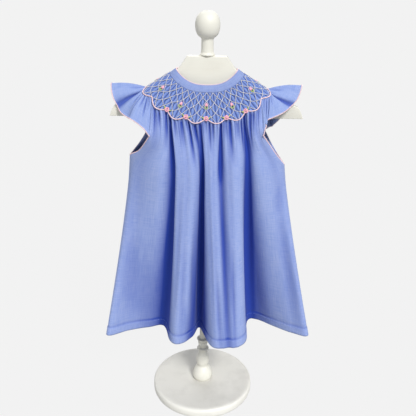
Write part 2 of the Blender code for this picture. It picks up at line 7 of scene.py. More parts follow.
import bmesh
import bpy
import numpy as np
from mathutils import Euler, Matrix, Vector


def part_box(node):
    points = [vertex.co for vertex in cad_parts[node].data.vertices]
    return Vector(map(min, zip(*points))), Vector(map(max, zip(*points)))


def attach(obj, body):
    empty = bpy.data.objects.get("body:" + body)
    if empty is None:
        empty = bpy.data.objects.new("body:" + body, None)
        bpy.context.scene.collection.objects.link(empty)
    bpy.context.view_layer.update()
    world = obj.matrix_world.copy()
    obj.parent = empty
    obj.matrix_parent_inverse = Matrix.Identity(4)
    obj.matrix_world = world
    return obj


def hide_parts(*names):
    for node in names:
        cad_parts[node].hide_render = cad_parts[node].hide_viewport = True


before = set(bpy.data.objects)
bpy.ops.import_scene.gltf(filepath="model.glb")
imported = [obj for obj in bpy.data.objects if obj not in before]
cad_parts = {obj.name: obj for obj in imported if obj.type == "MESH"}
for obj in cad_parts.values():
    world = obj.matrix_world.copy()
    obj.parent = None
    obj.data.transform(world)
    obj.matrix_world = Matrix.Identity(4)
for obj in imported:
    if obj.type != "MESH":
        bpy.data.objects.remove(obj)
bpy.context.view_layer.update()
scene = bpy.context.scene
BODY = "root"

# Studio: a pale floor that runs to the horizon, a broad soft light from above the front and a little
# to the right, weaker ones from the left and from behind, and a camera that looks down on the dress.
scene.view_settings.view_transform = "Standard"
PALE_GREY = (0.885, 0.885, 0.885, 1.0)
CAMERA_PLACE = (0.0046, -0.786, 0.6515)
CAMERA_PITCH = 22.2
CAMERA_ROLL = 1.0
CAMERA_LENS = 48.46

world = bpy.data.worlds.new("studio_air")
scene.world = world
world.use_nodes = True
air = world.node_tree
seen_air = air.nodes.new("ShaderNodeBackground")
seen_air.inputs["Color"].default_value = PALE_GREY
lit_air = air.nodes["Background"]
lit_air.inputs["Color"].default_value = (0.96, 0.98, 1.0, 1.0)
lit_air.inputs["Strength"].default_value = 0.42
seen = air.nodes.new("ShaderNodeLightPath")
either = air.nodes.new("ShaderNodeMixShader")
air.links.new(seen.outputs["Is Camera Ray"], either.inputs["Fac"])
air.links.new(lit_air.outputs["Background"], either.inputs[1])
air.links.new(seen_air.outputs["Background"], either.inputs[2])
air.links.new(either.outputs["Shader"], air.nodes["World Output"].inputs["Surface"])

for light_name, strength, softness, turn in (
    ("window_light", 2.75, 16, (46, 0, 27)),
    ("left_fill", 0.28, 60, (62, 0, -50)),
    ("back_fill", 1.10, 60, (-62, 0, 12)),
):
    lamp = bpy.data.lights.new(light_name, "SUN")
    lamp.energy = strength
    lamp.angle = math.radians(softness)
    lamp_object = bpy.data.objects.new(light_name, lamp)
    lamp_object.rotation_euler = [math.radians(angle) for angle in turn]
    scene.collection.objects.link(lamp_object)

camera = bpy.data.objects.new("camera", bpy.data.cameras.new("camera"))
camera.data.lens = CAMERA_LENS
level = Euler((math.radians(90 - CAMERA_PITCH), 0, 0)).to_matrix()
camera.matrix_world = (
    Matrix.Translation(CAMERA_PLACE) @ (level @ Matrix.Rotation(math.radians(CAMERA_ROLL), 3, "Z")).to_4x4()
)
scene.collection.objects.link(camera)
scene.camera = camera

floor_mesh = bpy.data.meshes.new("floor")
FLOOR_REACH = 60.0
floor_corners = [(x * FLOOR_REACH, y * FLOOR_REACH, -0.0004) for x, y in ((-1, -1), (1, -1), (1, 1), (-1, 1))]
floor_mesh.from_pydata(floor_corners, [], [(0, 1, 2, 3)])
floor = bpy.data.objects.new("floor", floor_mesh)
scene.collection.objects.link(floor)
floor_paper = bpy.data.materials.new("floor_paper")
floor_paper.use_nodes = True
paper_shader = floor_paper.node_tree.nodes["Principled BSDF"]
paper_shader.inputs["Base Color"].default_value = (0.01, 0.01, 0.01, 1.0)
paper_shader.inputs["Roughness"].default_value = 1.0
paper_shader.inputs["Specular IOR Level"].default_value = 0.0
paper_shader.inputs["Emission Color"].default_value = PALE_GREY
paper_seen = floor_paper.node_tree.nodes.new("ShaderNodeLightPath")
paper_glow = floor_paper.node_tree.nodes.new("ShaderNodeMapRange")
paper_glow.inputs["To Min"].default_value = 0.54
paper_glow.inputs["To Max"].default_value = 0.99
floor_paper.node_tree.links.new(paper_seen.outputs["Is Camera Ray"], paper_glow.inputs["Value"])
floor_paper.node_tree.links.new(paper_glow.outputs["Result"], paper_shader.inputs["Emission Strength"])
floor_mesh.materials.append(floor_paper)


# Stand, base and post: turned in hardwood, primed and brushed with ivory paint. The base is a round
# disc with a rounded edge, and the post is a spindle with beads that is dowelled into it.
def new_material(name, roughness):
    material = bpy.data.materials.new(name)
    material.use_nodes = True
    nodes = material.node_tree.nodes
    shader = nodes["Principled BSDF"]
    shader.inputs["Roughness"].default_value = roughness
    return material, nodes, material.node_tree.links, shader


def node_group(name, inputs, outputs):
    """A shader node group with named sockets. Each input is (name, kind of socket, value)."""
    tree = bpy.data.node_groups.new(name, "ShaderNodeTree")
    for label, kind, value in inputs:
        socket = tree.interface.new_socket(label, in_out="INPUT", socket_type=kind)
        if value is not None:
            socket.default_value = value
    for label, kind in outputs:
        tree.interface.new_socket(label, in_out="OUTPUT", socket_type=kind)
    return tree, tree.nodes.new("NodeGroupInput"), tree.nodes.new("NodeGroupOutput")


def math_node(tree, operation, first, second=None):
    """A Math node whose inputs are sockets or numbers. It gives back its output socket."""
    node = tree.nodes.new("ShaderNodeMath")
    node.operation = operation
    for place, value in enumerate((first, second)):
        if isinstance(value, (int, float)):
            node.inputs[place].default_value = value
        elif value is not None:
            tree.links.new(value, node.inputs[place])
    return node.outputs[0]


def noise_node(tree, vector, scale, stretch=(1, 1, 1), detail=3.0):
    """Noise read at a stretched place. It gives back the factor's socket."""
    mapping = tree.nodes.new("ShaderNodeMapping")
    mapping.inputs["Scale"].default_value = stretch
    tree.links.new(vector, mapping.inputs["Vector"])
    noise = tree.nodes.new("ShaderNodeTexNoise")
    noise.inputs["Scale"].default_value = scale
    noise.inputs["Detail"].default_value = detail
    tree.links.new(mapping.outputs["Vector"], noise.inputs["Vector"])
    return noise.outputs["Fac"]


def mix_colours(tree, share, first, second):
    """Mixes two colours, each a socket or four numbers, and gives back the result's socket."""
    mix = tree.nodes.new("ShaderNodeMix")
    mix.data_type = "RGBA"
    for socket, value in ((mix.inputs[0], share), (mix.inputs[6], first), (mix.inputs[7], second)):
        if isinstance(value, (int, float, tuple)):
            socket.default_value = value
        else:
            tree.links.new(value, socket)
    return mix.outputs[2]


def brushed_paint():
    """Colour, roughness and relief of brushed paint over turned wood, with a faint grime and grain. Faces that look up
    are darkened towards the grime colour by a painted shade.
    """
    tree, given, result = node_group(
        "brushed_paint",
        [
            ("Place", "NodeSocketVector", None),
            ("Paint", "NodeSocketColor", (0.8, 0.78, 0.68, 1.0)),
            ("Grime_And_Shade", "NodeSocketColor", (0.5, 0.47, 0.4, 1.0)),
            ("Wear", "NodeSocketFloat", 0.3),
            ("Facing", "NodeSocketVector", None),
            ("Top_Shade", "NodeSocketFloat", 0.0),
        ],
        [("Colour", "NodeSocketColor"), ("Roughness", "NodeSocketFloat"), ("Height", "NodeSocketFloat")],
    )
    place = given.outputs["Place"]
    strokes = noise_node(tree, place, 60, (1.0, 1.0, 9.0), 4.0)
    blotches = noise_node(tree, place, 22, (1, 1, 1), 5.0)
    specks = noise_node(tree, place, 900, (1, 1, 1), 1.0)
    worn = math_node(tree, "SUBTRACT", blotches, 0.48)
    worn = math_node(tree, "MULTIPLY", worn, 3.0)
    worn = math_node(tree, "MULTIPLY", math_node(tree, "MAXIMUM", worn, 0.0), given.outputs["Wear"])
    streak = math_node(tree, "MULTIPLY", math_node(tree, "SUBTRACT", strokes, 0.5), 0.25)
    share = math_node(tree, "MAXIMUM", math_node(tree, "ADD", worn, streak), 0.0)
    facing = tree.nodes.new("ShaderNodeSeparateXYZ")
    tree.links.new(given.outputs["Facing"], facing.inputs["Vector"])
    # Painted shade: faces that look up are mixed towards the grime colour, more the more squarely they face up.
    upward = math_node(tree, "POWER", math_node(tree, "MAXIMUM", facing.outputs["Z"], 0.0), 3.0)
    shaded_top = math_node(tree, "MULTIPLY", upward, given.outputs["Top_Shade"])
    share = math_node(tree, "MINIMUM", math_node(tree, "ADD", share, shaded_top), 1.0)
    colour = mix_colours(tree, share, given.outputs["Paint"], given.outputs["Grime_And_Shade"])
    tree.links.new(colour, result.inputs["Colour"])
    rough = math_node(tree, "ADD", math_node(tree, "MULTIPLY", strokes, 0.25), 0.32)
    tree.links.new(rough, result.inputs["Roughness"])
    relief = math_node(tree, "ADD", strokes, math_node(tree, "MULTIPLY", specks, 0.12))
    tree.links.new(relief, result.inputs["Height"])
    return tree


PAINT_EFFECT = brushed_paint()


# The last value sets how much painted shade falls on the faces that look up.
def painted_wood(name, paint, grime_and_shade, wear, top_shade=0.0):
    material, nodes, links, shader = new_material(name, 0.45)
    place = nodes.new("ShaderNodeTexCoord")
    effect = nodes.new("ShaderNodeGroup")
    effect.node_tree = PAINT_EFFECT
    effect.inputs["Paint"].default_value = (*paint, 1.0)
    effect.inputs["Grime_And_Shade"].default_value = (*grime_and_shade, 1.0)
    effect.inputs["Wear"].default_value = wear
    effect.inputs["Top_Shade"].default_value = top_shade
    links.new(place.outputs["Normal"], effect.inputs["Facing"])
    bump = nodes.new("ShaderNodeBump")
    bump.inputs["Strength"].default_value = 0.12
    bump.inputs["Distance"].default_value = 0.0006
    links.new(place.outputs["Object"], effect.inputs["Place"])
    links.new(effect.outputs["Colour"], shader.inputs["Base Color"])
    links.new(effect.outputs["Roughness"], shader.inputs["Roughness"])
    links.new(effect.outputs["Height"], bump.inputs["Height"])
    links.new(bump.outputs["Normal"], shader.inputs["Normal"])
    return material


def smooth_line(knots, values, at):
    """Values read at the places in `at` from a smooth line through the knots."""
    knots = np.asarray(knots, float)
    values = np.asarray(values, float)
    slopes = np.gradient(values, knots, axis=0)
    at = np.clip(at, knots[0], knots[-1])
    left = np.clip(np.searchsorted(knots, at, side="right") - 1, 0, len(knots) - 2)
    step = knots[left + 1] - knots[left]
    t = ((at - knots[left]) / step)[:, None]
    step = step[:, None]
    return (
        (2 * t**3 - 3 * t**2 + 1) * values[left]
        + (t**3 - 2 * t**2 + t) * step * slopes[left]
        + (3 * t**2 - 2 * t**3) * values[left + 1]
        + (t**3 - t**2) * step * slopes[left + 1]
    )


def add_piece(name, mesh, material):
    """A finished piece, whose place is in its mesh. It rides on the part's only body."""
    mesh.materials.clear()
    mesh.materials.append(material)
    mesh.shade_smooth()
    obj = bpy.data.objects.new(name, mesh)
    scene.collection.objects.link(obj)
    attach(obj, BODY)
    return obj


def turned_piece(name, profile, foot_z, material, segments=96):
    """A turned solid. The profile is (radius, height) from the foot up, and its ends are closed."""
    rings = []
    made = bmesh.new()
    for radius, height in profile:
        angles = [2 * math.pi * step / segments for step in range(segments)]
        ring = [made.verts.new((radius * math.cos(a), radius * math.sin(a), foot_z + height)) for a in angles]
        rings.append(ring)
    for low, high in zip(rings, rings[1:]):
        for step in range(segments):
            after = (step + 1) % segments
            made.faces.new((low[step], low[after], high[after], high[step]))
    made.faces.new(reversed(rings[0]))
    made.faces.new(rings[-1])
    mesh = bpy.data.meshes.new(name)
    made.to_mesh(mesh)
    made.free()
    obj = add_piece(name, mesh, material)
    mesh.set_sharp_from_angle(angle=math.radians(50))
    return obj


def rounded_profile(points, steps):
    """A smooth profile through (radius, height) points, with a few steps from each to the next."""
    places = np.arange(len(points))
    return smooth_line(places, points, np.linspace(0, len(points) - 1, (len(points) - 1) * steps + 1))


SEAM_GAP = 0.0003
BASE_HEIGHT = 0.0175
BASE_PROFILE = (
    # radius, height
    (0.0790, 0.0000),
    (0.0806, 0.0002),
    (0.0820, 0.0012),
    (0.0828, 0.0030),
    (0.0831, 0.0060),
    (0.0831, 0.0105),
    (0.0828, 0.0130),
    (0.0818, 0.0149),
    (0.0802, 0.0162),
    (0.0778, 0.0170),
    (0.0740, 0.0173),
    (0.0600, 0.0174),
    (0.0300, 0.0175),
    (0.0170, 0.0175),
)
POST_PROFILE = (
    # radius, height above the post's foot
    (0.0148, 0.0000),
    (0.0160, 0.0022),
    (0.0166, 0.0060),
    (0.0160, 0.0112),
    (0.0140, 0.0168),
    (0.0110, 0.0212),
    (0.0092, 0.0238),
    (0.0090, 0.0262),
    (0.0104, 0.0305),
    (0.0106, 0.0350),
    (0.0098, 0.0430),
    (0.0082, 0.0490),
    (0.0067, 0.0540),
    (0.0066, 0.0562),
    (0.0088, 0.0572),
    (0.0097, 0.0588),
    (0.0088, 0.0604),
    (0.0064, 0.0614),
    (0.0068, 0.0650),
    (0.0078, 0.0690),
    (0.0080, 0.0720),
    (0.0074, 0.0746),
    (0.0092, 0.0757),
    (0.0101, 0.0773),
    (0.0092, 0.0789),
    (0.0066, 0.0800),
    (0.0056, 0.0830),
    (0.0055, 0.0900),
    (0.0056, 0.2000),
    (0.0059, 0.3200),
    (0.0062, 0.4250),
    (0.0074, 0.4310),
    (0.0110, 0.4380),
    (0.0115, 0.4450),
    (0.0115, 0.4533),
)
ivory_paint = painted_wood("ivory_paint", (0.815, 0.80, 0.715), (0.62, 0.59, 0.49), 0.28)
# The base's top is darkened by a painted shade on its upward faces; its other dark marks are grime and wear.
base_paint = painted_wood("base_paint", (0.90, 0.885, 0.82), (0.32, 0.305, 0.275), 0.12, 0.46)

stand_base = turned_piece("turned_base", BASE_PROFILE, 0.0, base_paint, 128)
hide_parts("stand_base")
post_profile = rounded_profile(POST_PROFILE, 4)
stand_post = turned_piece("turned_post", post_profile, BASE_HEIGHT + SEAM_GAP, ivory_paint, 48)
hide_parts("stand_post")

# Shoulder board: sawn from one board, its edges rounded over by hand, and painted like the post. Its
# short neck shows above the dress, and its round ends show under the sleeves.
BOARD_OUTLINE = (
    # half width, height
    (0.0270, 0.5550),
    (0.0300, 0.5515),
    (0.0337, 0.5460),
    (0.0402, 0.5374),
    (0.0505, 0.5296),
    (0.0810, 0.5095),
    (0.1220, 0.4905),
    (0.1310, 0.4835),
    (0.1364, 0.4715),
)
BOARD_THICKNESS = 0.016
BOARD_ROUNDING = 0.0034


def board_piece():
    places = np.arange(len(BOARD_OUTLINE))
    half = smooth_line(places, BOARD_OUTLINE, np.linspace(0, len(BOARD_OUTLINE) - 1, 65))
    corner = [(0.1364, 0.4722), (0.1352, 0.4716), (0.1338, 0.4715)]
    half = np.concatenate([half[:-1], corner])
    outline = [(-x, z) for x, z in half] + [(x, z) for x, z in half[::-1]]
    made = bmesh.new()
    front = [made.verts.new((x, -BOARD_THICKNESS / 2, z)) for x, z in outline]
    face = made.faces.new(front)
    grown = bmesh.ops.extrude_face_region(made, geom=[face])
    moved = [item for item in grown["geom"] if isinstance(item, bmesh.types.BMVert)]
    bmesh.ops.translate(made, vec=(0, BOARD_THICKNESS, 0), verts=moved)
    bmesh.ops.recalc_face_normals(made, faces=made.faces)
    rims = [edge for edge in made.edges if abs(edge.verts[0].co.y - edge.verts[1].co.y) < 1e-6]
    bmesh.ops.bevel(
        made, geom=rims, offset=BOARD_ROUNDING, segments=4, profile=0.5, affect="EDGES",
        clamp_overlap=True,
    )
    mesh = bpy.data.meshes.new("rounded_board")
    made.to_mesh(mesh)
    made.free()
    obj = add_piece("rounded_board", mesh, ivory_paint)
    mesh.set_sharp_from_angle(angle=math.radians(40))
    return obj


rounded_board = board_piece()
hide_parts("shoulder_board")

# Finial: an egg-shaped knob on a short neck with a ring at its foot, turned and painted. It is
# dowelled into the top of the board.
BOARD_TOP_Z = 0.5550
FINIAL_PROFILE = (
    # radius, height above the board
    (0.0098, 0.0000),
    (0.0104, 0.0008),
    (0.0103, 0.0022),
    (0.0091, 0.0034),
    (0.0085, 0.0060),
    (0.0083, 0.0140),
    (0.0084, 0.0215),
    (0.0094, 0.0235),
    (0.0122, 0.0256),
    (0.0147, 0.0290),
    (0.0163, 0.0335),
    (0.0170, 0.0390),
    (0.0166, 0.0448),
    (0.0148, 0.0502),
    (0.0116, 0.0545),
    (0.0074, 0.0572),
    (0.0030, 0.0583),
    (0.0002, 0.0585),
)
finial = turned_piece(
    "egg_finial", rounded_profile(FINIAL_PROFILE, 4), BOARD_TOP_Z + SEAM_GAP, ivory_paint, 64
)
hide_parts("finial")

# Smocked yoke: the tops of the panels drawn up in fine even pleats of blue chambray, pinched towards
# each other where the lattice of thread will catch them. Its foot ends in scallops.
SHOULDER_CLEARANCE = 0.0007
RING_FULLNESS = 0.75
RINGS = {
    # half width, depth to the front, front height, depth to the back, back height
    "neck_edge": (0.0420, 0.0215, 0.5185, 0.0200, 0.5270),
    "band_foot": (0.0510, 0.0280, 0.5095, 0.0270, 0.5170),
    "yoke_foot": (0.0850, 0.0420, 0.4740, 0.0420, 0.4820),
}
SCALLOPS = 16
DIAMONDS = 32
HALF_ROWS = 6
RING_COLUMNS = 192
SCALLOP_DEPTH = 0.085
SCALLOP_ROUNDNESS = 1.25
CLOTH = 0.0012
PLEAT_HEIGHT = 0.0014
PLEAT_VALLEY = 0.0006
PLEAT_ROUNDNESS = 0.62
PINCH = 0.085
FINE_COLUMNS = 4
FINE_ROWS = 7


def woven_cotton():
    """Colour and relief of plain-woven cotton with slubs, read from a flat map of the cloth in metres."""
    tree, given, result = node_group(
        "woven_cotton",
        [
            ("Map", "NodeSocketVector", None),
            ("Warp", "NodeSocketColor", (0.2, 0.3, 0.7, 1.0)),
            ("Weft", "NodeSocketColor", (0.4, 0.5, 0.85, 1.0)),
            ("Threads", "NodeSocketFloat", 1500.0),
            ("Slubs", "NodeSocketFloat", 0.9),
        ],
        [("Colour", "NodeSocketColor"), ("Roughness", "NodeSocketFloat"), ("Height", "NodeSocketFloat")],
    )
    flat = given.outputs["Map"]
    across = tree.nodes.new("ShaderNodeSeparateXYZ")
    tree.links.new(flat, across.inputs["Vector"])
    count = math_node(tree, "MULTIPLY", given.outputs["Threads"], math.pi)
    waves = [
        math_node(tree, "SINE", math_node(tree, "MULTIPLY", across.outputs[axis], count)) for axis in ("X", "Y")
    ]
    crossing = math_node(tree, "MULTIPLY", waves[0], waves[1])
    over = math_node(tree, "ADD", math_node(tree, "MULTIPLY", crossing, 0.5), 0.5)
    weft_slubs = noise_node(tree, flat, 1.0, (55, 900, 1), 2.0)
    warp_slubs = noise_node(tree, flat, 1.0, (900, 40, 1), 2.0)
    washed = noise_node(tree, flat, 1.0, (26, 26, 1), 4.0)
    slubs = math_node(tree, "SUBTRACT", math_node(tree, "ADD", weft_slubs, warp_slubs), 1.0)
    slubs = math_node(tree, "MULTIPLY", slubs, given.outputs["Slubs"])
    wash = math_node(tree, "MULTIPLY", math_node(tree, "SUBTRACT", washed, 0.5), 0.35)
    share = math_node(tree, "ADD", math_node(tree, "MULTIPLY", over, 0.24), 0.38)
    share = math_node(tree, "ADD", math_node(tree, "ADD", share, slubs), wash)
    colour = mix_colours(tree, share, given.outputs["Warp"], given.outputs["Weft"])
    tree.links.new(colour, result.inputs["Colour"])
    rough = math_node(tree, "ADD", math_node(tree, "MULTIPLY", over, 0.1), 0.8)
    tree.links.new(rough, result.inputs["Roughness"])
    relief = math_node(tree, "ADD", over, math_node(tree, "MULTIPLY", slubs, 2.0))
    tree.links.new(relief, result.inputs["Height"])
    return tree


WOVEN_EFFECT = woven_cotton()
# Dark blue of the painted shade in the folds of the chambray.
FOLD_SHADE_BLUE = (0.010, 0.044, 0.36, 1.0)


def chambray(name, warp, weft, deep=FOLD_SHADE_BLUE, shade=0.95):
    """Blue warp and pale weft. Down in the folds a painted shade mixes the colour towards a dark saturated blue."""
    material, nodes, links, shader = new_material(name, 0.85)
    tree = material.node_tree
    flat = nodes.new("ShaderNodeUVMap")
    flat.uv_map = "cloth_map"
    effect = nodes.new("ShaderNodeGroup")
    effect.node_tree = WOVEN_EFFECT
    effect.inputs["Warp"].default_value = (*warp, 1.0)
    effect.inputs["Weft"].default_value = (*weft, 1.0)
    links.new(flat.outputs["UV"], effect.inputs["Map"])
    # Painted shade: the colour is mixed towards the dark blue as far as the mesh marks each point as lying down in a
    # fold.
    depth = nodes.new("ShaderNodeAttribute")
    depth.attribute_name = "fold_shade"
    share = math_node(tree, "MULTIPLY", depth.outputs["Fac"], shade)
    colour = mix_colours(tree, share, effect.outputs["Colour"], deep)
    links.new(colour, shader.inputs["Base Color"])
    links.new(effect.outputs["Roughness"], shader.inputs["Roughness"])
    bump = nodes.new("ShaderNodeBump")
    bump.inputs["Strength"].default_value = 0.28
    bump.inputs["Distance"].default_value = 0.00012
    links.new(effect.outputs["Height"], bump.inputs["Height"])
    links.new(bump.outputs["Normal"], shader.inputs["Normal"])
    shader.inputs["Specular IOR Level"].default_value = 0.15
    shader.inputs["Sheen Weight"].default_value = 0.12
    shader.inputs["Sheen Roughness"].default_value = 0.5
    shader.inputs["Sheen Tint"].default_value = (0.72, 0.80, 1.0, 1.0)
    return material


WARP_BLUE = (0.21, 0.30, 0.66)
WEFT_PALE = (0.42, 0.50, 0.78)
blue_chambray = chambray("blue_chambray", WARP_BLUE, WEFT_PALE)
# The smocked chambray is darker than the skirt's: partly a painted shade of the pleats, partly the denser drawn-up
# cloth.
smocked_chambray = chambray("smocked_chambray", (0.13, 0.21, 0.56), (0.27, 0.37, 0.70), (0.02, 0.04, 0.20, 1.0), 0.9)


def unit(vectors):
    vectors = np.asarray(vectors, float)
    lengths = np.linalg.norm(vectors, axis=-1, keepdims=True)
    return vectors / np.maximum(lengths, 1e-12)


def full_power(value, power):
    return np.sign(value) * np.abs(value) ** power


def ring_shape(name):
    half_width, front_depth, front_z, back_depth, back_z = RINGS[name]
    widths = [x for x, _ in BOARD_OUTLINE]
    heights = [z for _, z in BOARD_OUTLINE]
    side_z = float(np.interp(half_width, widths, heights)) + SHOULDER_CLEARANCE
    return np.array([half_width, side_z, front_depth, front_z, back_depth, back_z])


def ring_points(shape, angle):
    """Points of one ring round the neck. Angle 0 is the middle of the front, a quarter turn the +X side."""
    half_width, side_z, front_depth, front_z, back_depth, back_z = np.moveaxis(shape, -1, 0)
    front = np.cos(angle) >= 0
    depth = np.where(front, front_depth, back_depth)
    low_z = np.where(front, front_z, back_z)
    z = side_z - (side_z - low_z) * np.cos(angle) ** 2
    across = half_width * full_power(np.sin(angle), RING_FULLNESS)
    return np.stack([across, -depth * full_power(np.cos(angle), RING_FULLNESS), z], axis=-1)


def angle_table():
    """Ring angle for each share of the way round the foot of the yoke, by length."""
    angles = np.linspace(-math.pi, math.pi, 4001)
    foot = ring_points(np.broadcast_to(ring_shape("yoke_foot"), (len(angles), 6)), angles)
    lengths = np.concatenate([[0], np.cumsum(np.linalg.norm(np.diff(foot, axis=0), axis=1))])
    return (lengths - np.interp(0, angles, lengths)) / lengths[-1], angles


SHARES, ANGLES = angle_table()


def ring_angle(column):
    share = np.asarray(column, float) / RING_COLUMNS
    share = (share + 0.5) % 1.0 - 0.5
    return np.interp(share, SHARES, ANGLES)


def yoke_base(column, down):
    """A point on the yoke's inner side. Down runs from 0 at the band to 1 at the foot."""
    column, down = np.broadcast_arrays(np.asarray(column, float), np.asarray(down, float))
    shape = ring_shape("band_foot") + (ring_shape("yoke_foot") - ring_shape("band_foot")) * down[..., None]
    return ring_points(shape, ring_angle(column))


def yoke_normal(column, down):
    step = 0.05
    across = yoke_base(np.asarray(column) + step, down) - yoke_base(np.asarray(column) - step, down)
    along = yoke_base(column, np.asarray(down) + step) - yoke_base(column, np.asarray(down) - step)
    return unit(np.cross(along, across))


def foot_of_yoke(column):
    wave = np.abs(np.sin(math.pi * SCALLOPS * np.asarray(column, float) / RING_COLUMNS)) ** SCALLOP_ROUNDNESS
    return 1 + SCALLOP_DEPTH * (2 * wave - 1)


def pleat_ridge(column):
    """1 on the crest of each pleat and 0 in the slit between two."""
    return np.abs(np.sin(math.pi * column / 2)) ** PLEAT_ROUNDNESS


def smocked_place(column, row):
    """Leaned column and share of the way down, at a place of the lattice given in columns and half rows."""
    place = column * DIAMONDS / RING_COLUMNS
    hold = np.clip(HALF_ROWS - row, 0, 1)
    lean = -PINCH * hold * np.sin(2 * math.pi * place) * np.cos(math.pi * row)
    leaned = column + lean * RING_COLUMNS / DIAMONDS
    return leaned, row / HALF_ROWS * foot_of_yoke(leaned)


def cloth_mesh(name, grid, depth, flat_width, flat_length, thickness=0.0009):
    """A thin shell of cloth over a grid of points, with a flat map of it in metres and how deep each point lies in its
    folds, kept for the painted fold shade.
    """
    rows, columns = grid.shape[:2]
    index = np.arange(rows * columns).reshape(rows, columns)
    quads = np.stack([index[:-1, :-1], index[1:, :-1], index[1:, 1:], index[:-1, 1:]], axis=-1).reshape(-1, 4)
    corner = grid[1:, :-1] - grid[:-1, :-1]
    beside = grid[:-1, 1:] - grid[:-1, :-1]
    facing = np.cross(corner, beside)
    centre = grid.reshape(-1, 3).mean(axis=0) * np.array([0.0, 0.0, 1.0])
    if np.sum(facing * (grid[:-1, :-1] - centre)) < 0:
        quads = quads[:, ::-1]
    mesh = bpy.data.meshes.new(name)
    mesh.from_pydata(grid.reshape(-1, 3).tolist(), [], quads.tolist())
    across = np.broadcast_to(np.linspace(0, flat_width, columns), (rows, columns))
    along = np.broadcast_to(np.linspace(0, flat_length, rows)[:, None], (rows, columns))
    flat = np.stack([across, along], axis=-1).reshape(-1, 2)
    uv = mesh.uv_layers.new(name="cloth_map")
    corners = np.empty(len(mesh.loops), np.int32)
    mesh.loops.foreach_get("vertex_index", corners)
    uv.data.foreach_set("uv", flat[corners].astype(np.float32).ravel())
    # This attribute carries the painted shade that the chambray mixes into its colour.
    attribute = mesh.attributes.new("fold_shade", "FLOAT", "POINT")
    attribute.data.foreach_set("value", np.clip(depth, 0, 1).astype(np.float32).ravel())
    return mesh


def shelled(obj, thickness=0.0009):
    """Gives a sheet its thickness, on the side that faces the stand."""
    shell = obj.modifiers.new("cloth_thickness", "SOLIDIFY")
    shell.thickness = thickness
    shell.offset = -1
    shell.use_even_offset = False
    return obj


def smocked_piece(name, first, last, node):
    columns = np.arange(first * FINE_COLUMNS, last * FINE_COLUMNS + 1) / FINE_COLUMNS
    rows = np.linspace(0, HALF_ROWS, HALF_ROWS * FINE_ROWS + 1)
    column, row = np.meshgrid(columns, rows)
    leaned, down = smocked_place(column, row)
    leaned[:, 0] = columns[0]
    leaned[:, -1] = columns[-1]
    place = column * DIAMONDS / RING_COLUMNS
    knot = np.cos(2 * math.pi * place) * np.cos(math.pi * row)
    ridge = pleat_ridge(column)
    at_band = np.clip(0.55 + row, 0, 1)
    uneven = 1 + 0.10 * np.sin(column * 2.3 + row * 1.1) * np.sin(column * 0.37 + 1.0)
    height = CLOTH - PLEAT_VALLEY + (PLEAT_HEIGHT + PLEAT_VALLEY) * ridge * (0.88 - 0.12 * knot) * uneven
    height = CLOTH + (height - CLOTH) * at_band
    grid = yoke_base(leaned, down) + yoke_normal(leaned, down) * height[..., None]
    # The valleys between the pleats are given a painted shade.
    mesh = cloth_mesh(name, grid, (1 - ridge) ** 1.2, 0.0100 * (last - first) / 2, 0.045)
    obj = shelled(add_piece(name, mesh, smocked_chambray))
    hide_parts(node)
    return obj


QUARTER = RING_COLUMNS // 4
HALF = RING_COLUMNS // 2
smocked_piece("smocking_front", -QUARTER, QUARTER, "smocked_yoke_front")
smocked_piece("smocking_back_right", QUARTER, HALF, "smocked_yoke_back_right")
smocked_piece("smocking_back_left", -HALF, -QUARTER, "smocked_yoke_back_left")

# Neck band: a bias strip of the same chambray, folded over the raw top of the pleats and stitched
# down. It is open at the middle of the back, under the placket.
BAND_CLOTH = 0.0018
BAND_STEPS = 288
bound_chambray = chambray("bound_chambray", (0.17, 0.24, 0.53), (0.33, 0.40, 0.64))


def swept_mesh(name, sections, flat_width, flat_length):
    """A closed solid through closed sections, with its two ends capped and a flat map along it."""
    count, around = sections.shape[:2]
    index = np.arange(count * around).reshape(count, around)
    turned = np.roll(index, -1, axis=1)
    quads = np.stack([index[:-1], index[1:], turned[1:], turned[:-1]], axis=-1).reshape(-1, 4).tolist()
    faces = quads + [index[0].tolist()[::-1], index[-1].tolist()]
    mesh = bpy.data.meshes.new(name)
    mesh.from_pydata(sections.reshape(-1, 3).tolist(), [], faces)
    made = bmesh.new()
    made.from_mesh(mesh)
    bmesh.ops.recalc_face_normals(made, faces=made.faces)
    if made.calc_volume(signed=True) < 0:
        bmesh.ops.reverse_faces(made, faces=made.faces)
    made.to_mesh(mesh)
    made.free()
    along = np.broadcast_to(np.linspace(0, flat_width, count)[:, None], (count, around))
    across = np.broadcast_to(np.abs(np.linspace(-flat_length, flat_length, around)), (count, around))
    flat = np.stack([along, across], axis=-1).reshape(-1, 2)
    uv = mesh.uv_layers.new(name="cloth_map")
    corners = np.empty(len(mesh.loops), np.int32)
    mesh.loops.foreach_get("vertex_index", corners)
    uv.data.foreach_set("uv", flat[corners].astype(np.float32).ravel())
    return mesh


def band_section(share, out):
    """A line round the neck at a share of the band's height, a distance out from its inner side."""
    columns = np.linspace(-HALF + 0.4, HALF - 0.4, BAND_STEPS + 1)
    angle = ring_angle(columns)
    top, foot = ring_shape("neck_edge"), ring_shape("band_foot")
    base = ring_points(np.broadcast_to(top + (foot - top) * share, (len(angle), 6)), angle)
    below = ring_points(np.broadcast_to(top + (foot - top) * (share + 0.1), (len(angle), 6)), angle)
    slope = unit(below - base)
    along = np.gradient(base, axis=0)
    normal = unit(np.cross(slope, along))
    return base + normal * out, normal


def neck_band():
    outer_shares = (1.0, 0.9, 0.78, 0.6, 0.4, 0.22, 0.08, 0.0)
    bulges = (0.70, 0.95, 0.88, 1.0, 1.02, 1.0, 0.92, 0.72)
    lines = [band_section(share, BAND_CLOTH * bulge)[0] for share, bulge in zip(outer_shares, bulges)]
    lines.append(band_section(-0.03, BAND_CLOTH * 0.36)[0])
    lines += [band_section(share, 0.0)[0] for share in (0.01, 0.5, 0.98)]
    sections = np.stack(lines, axis=1)
    mesh = swept_mesh("neck_binding", sections, 0.30, 0.012)
    obj = add_piece("neck_binding", mesh, bound_chambray)
    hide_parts("neck_band")
    return obj


neck_band()

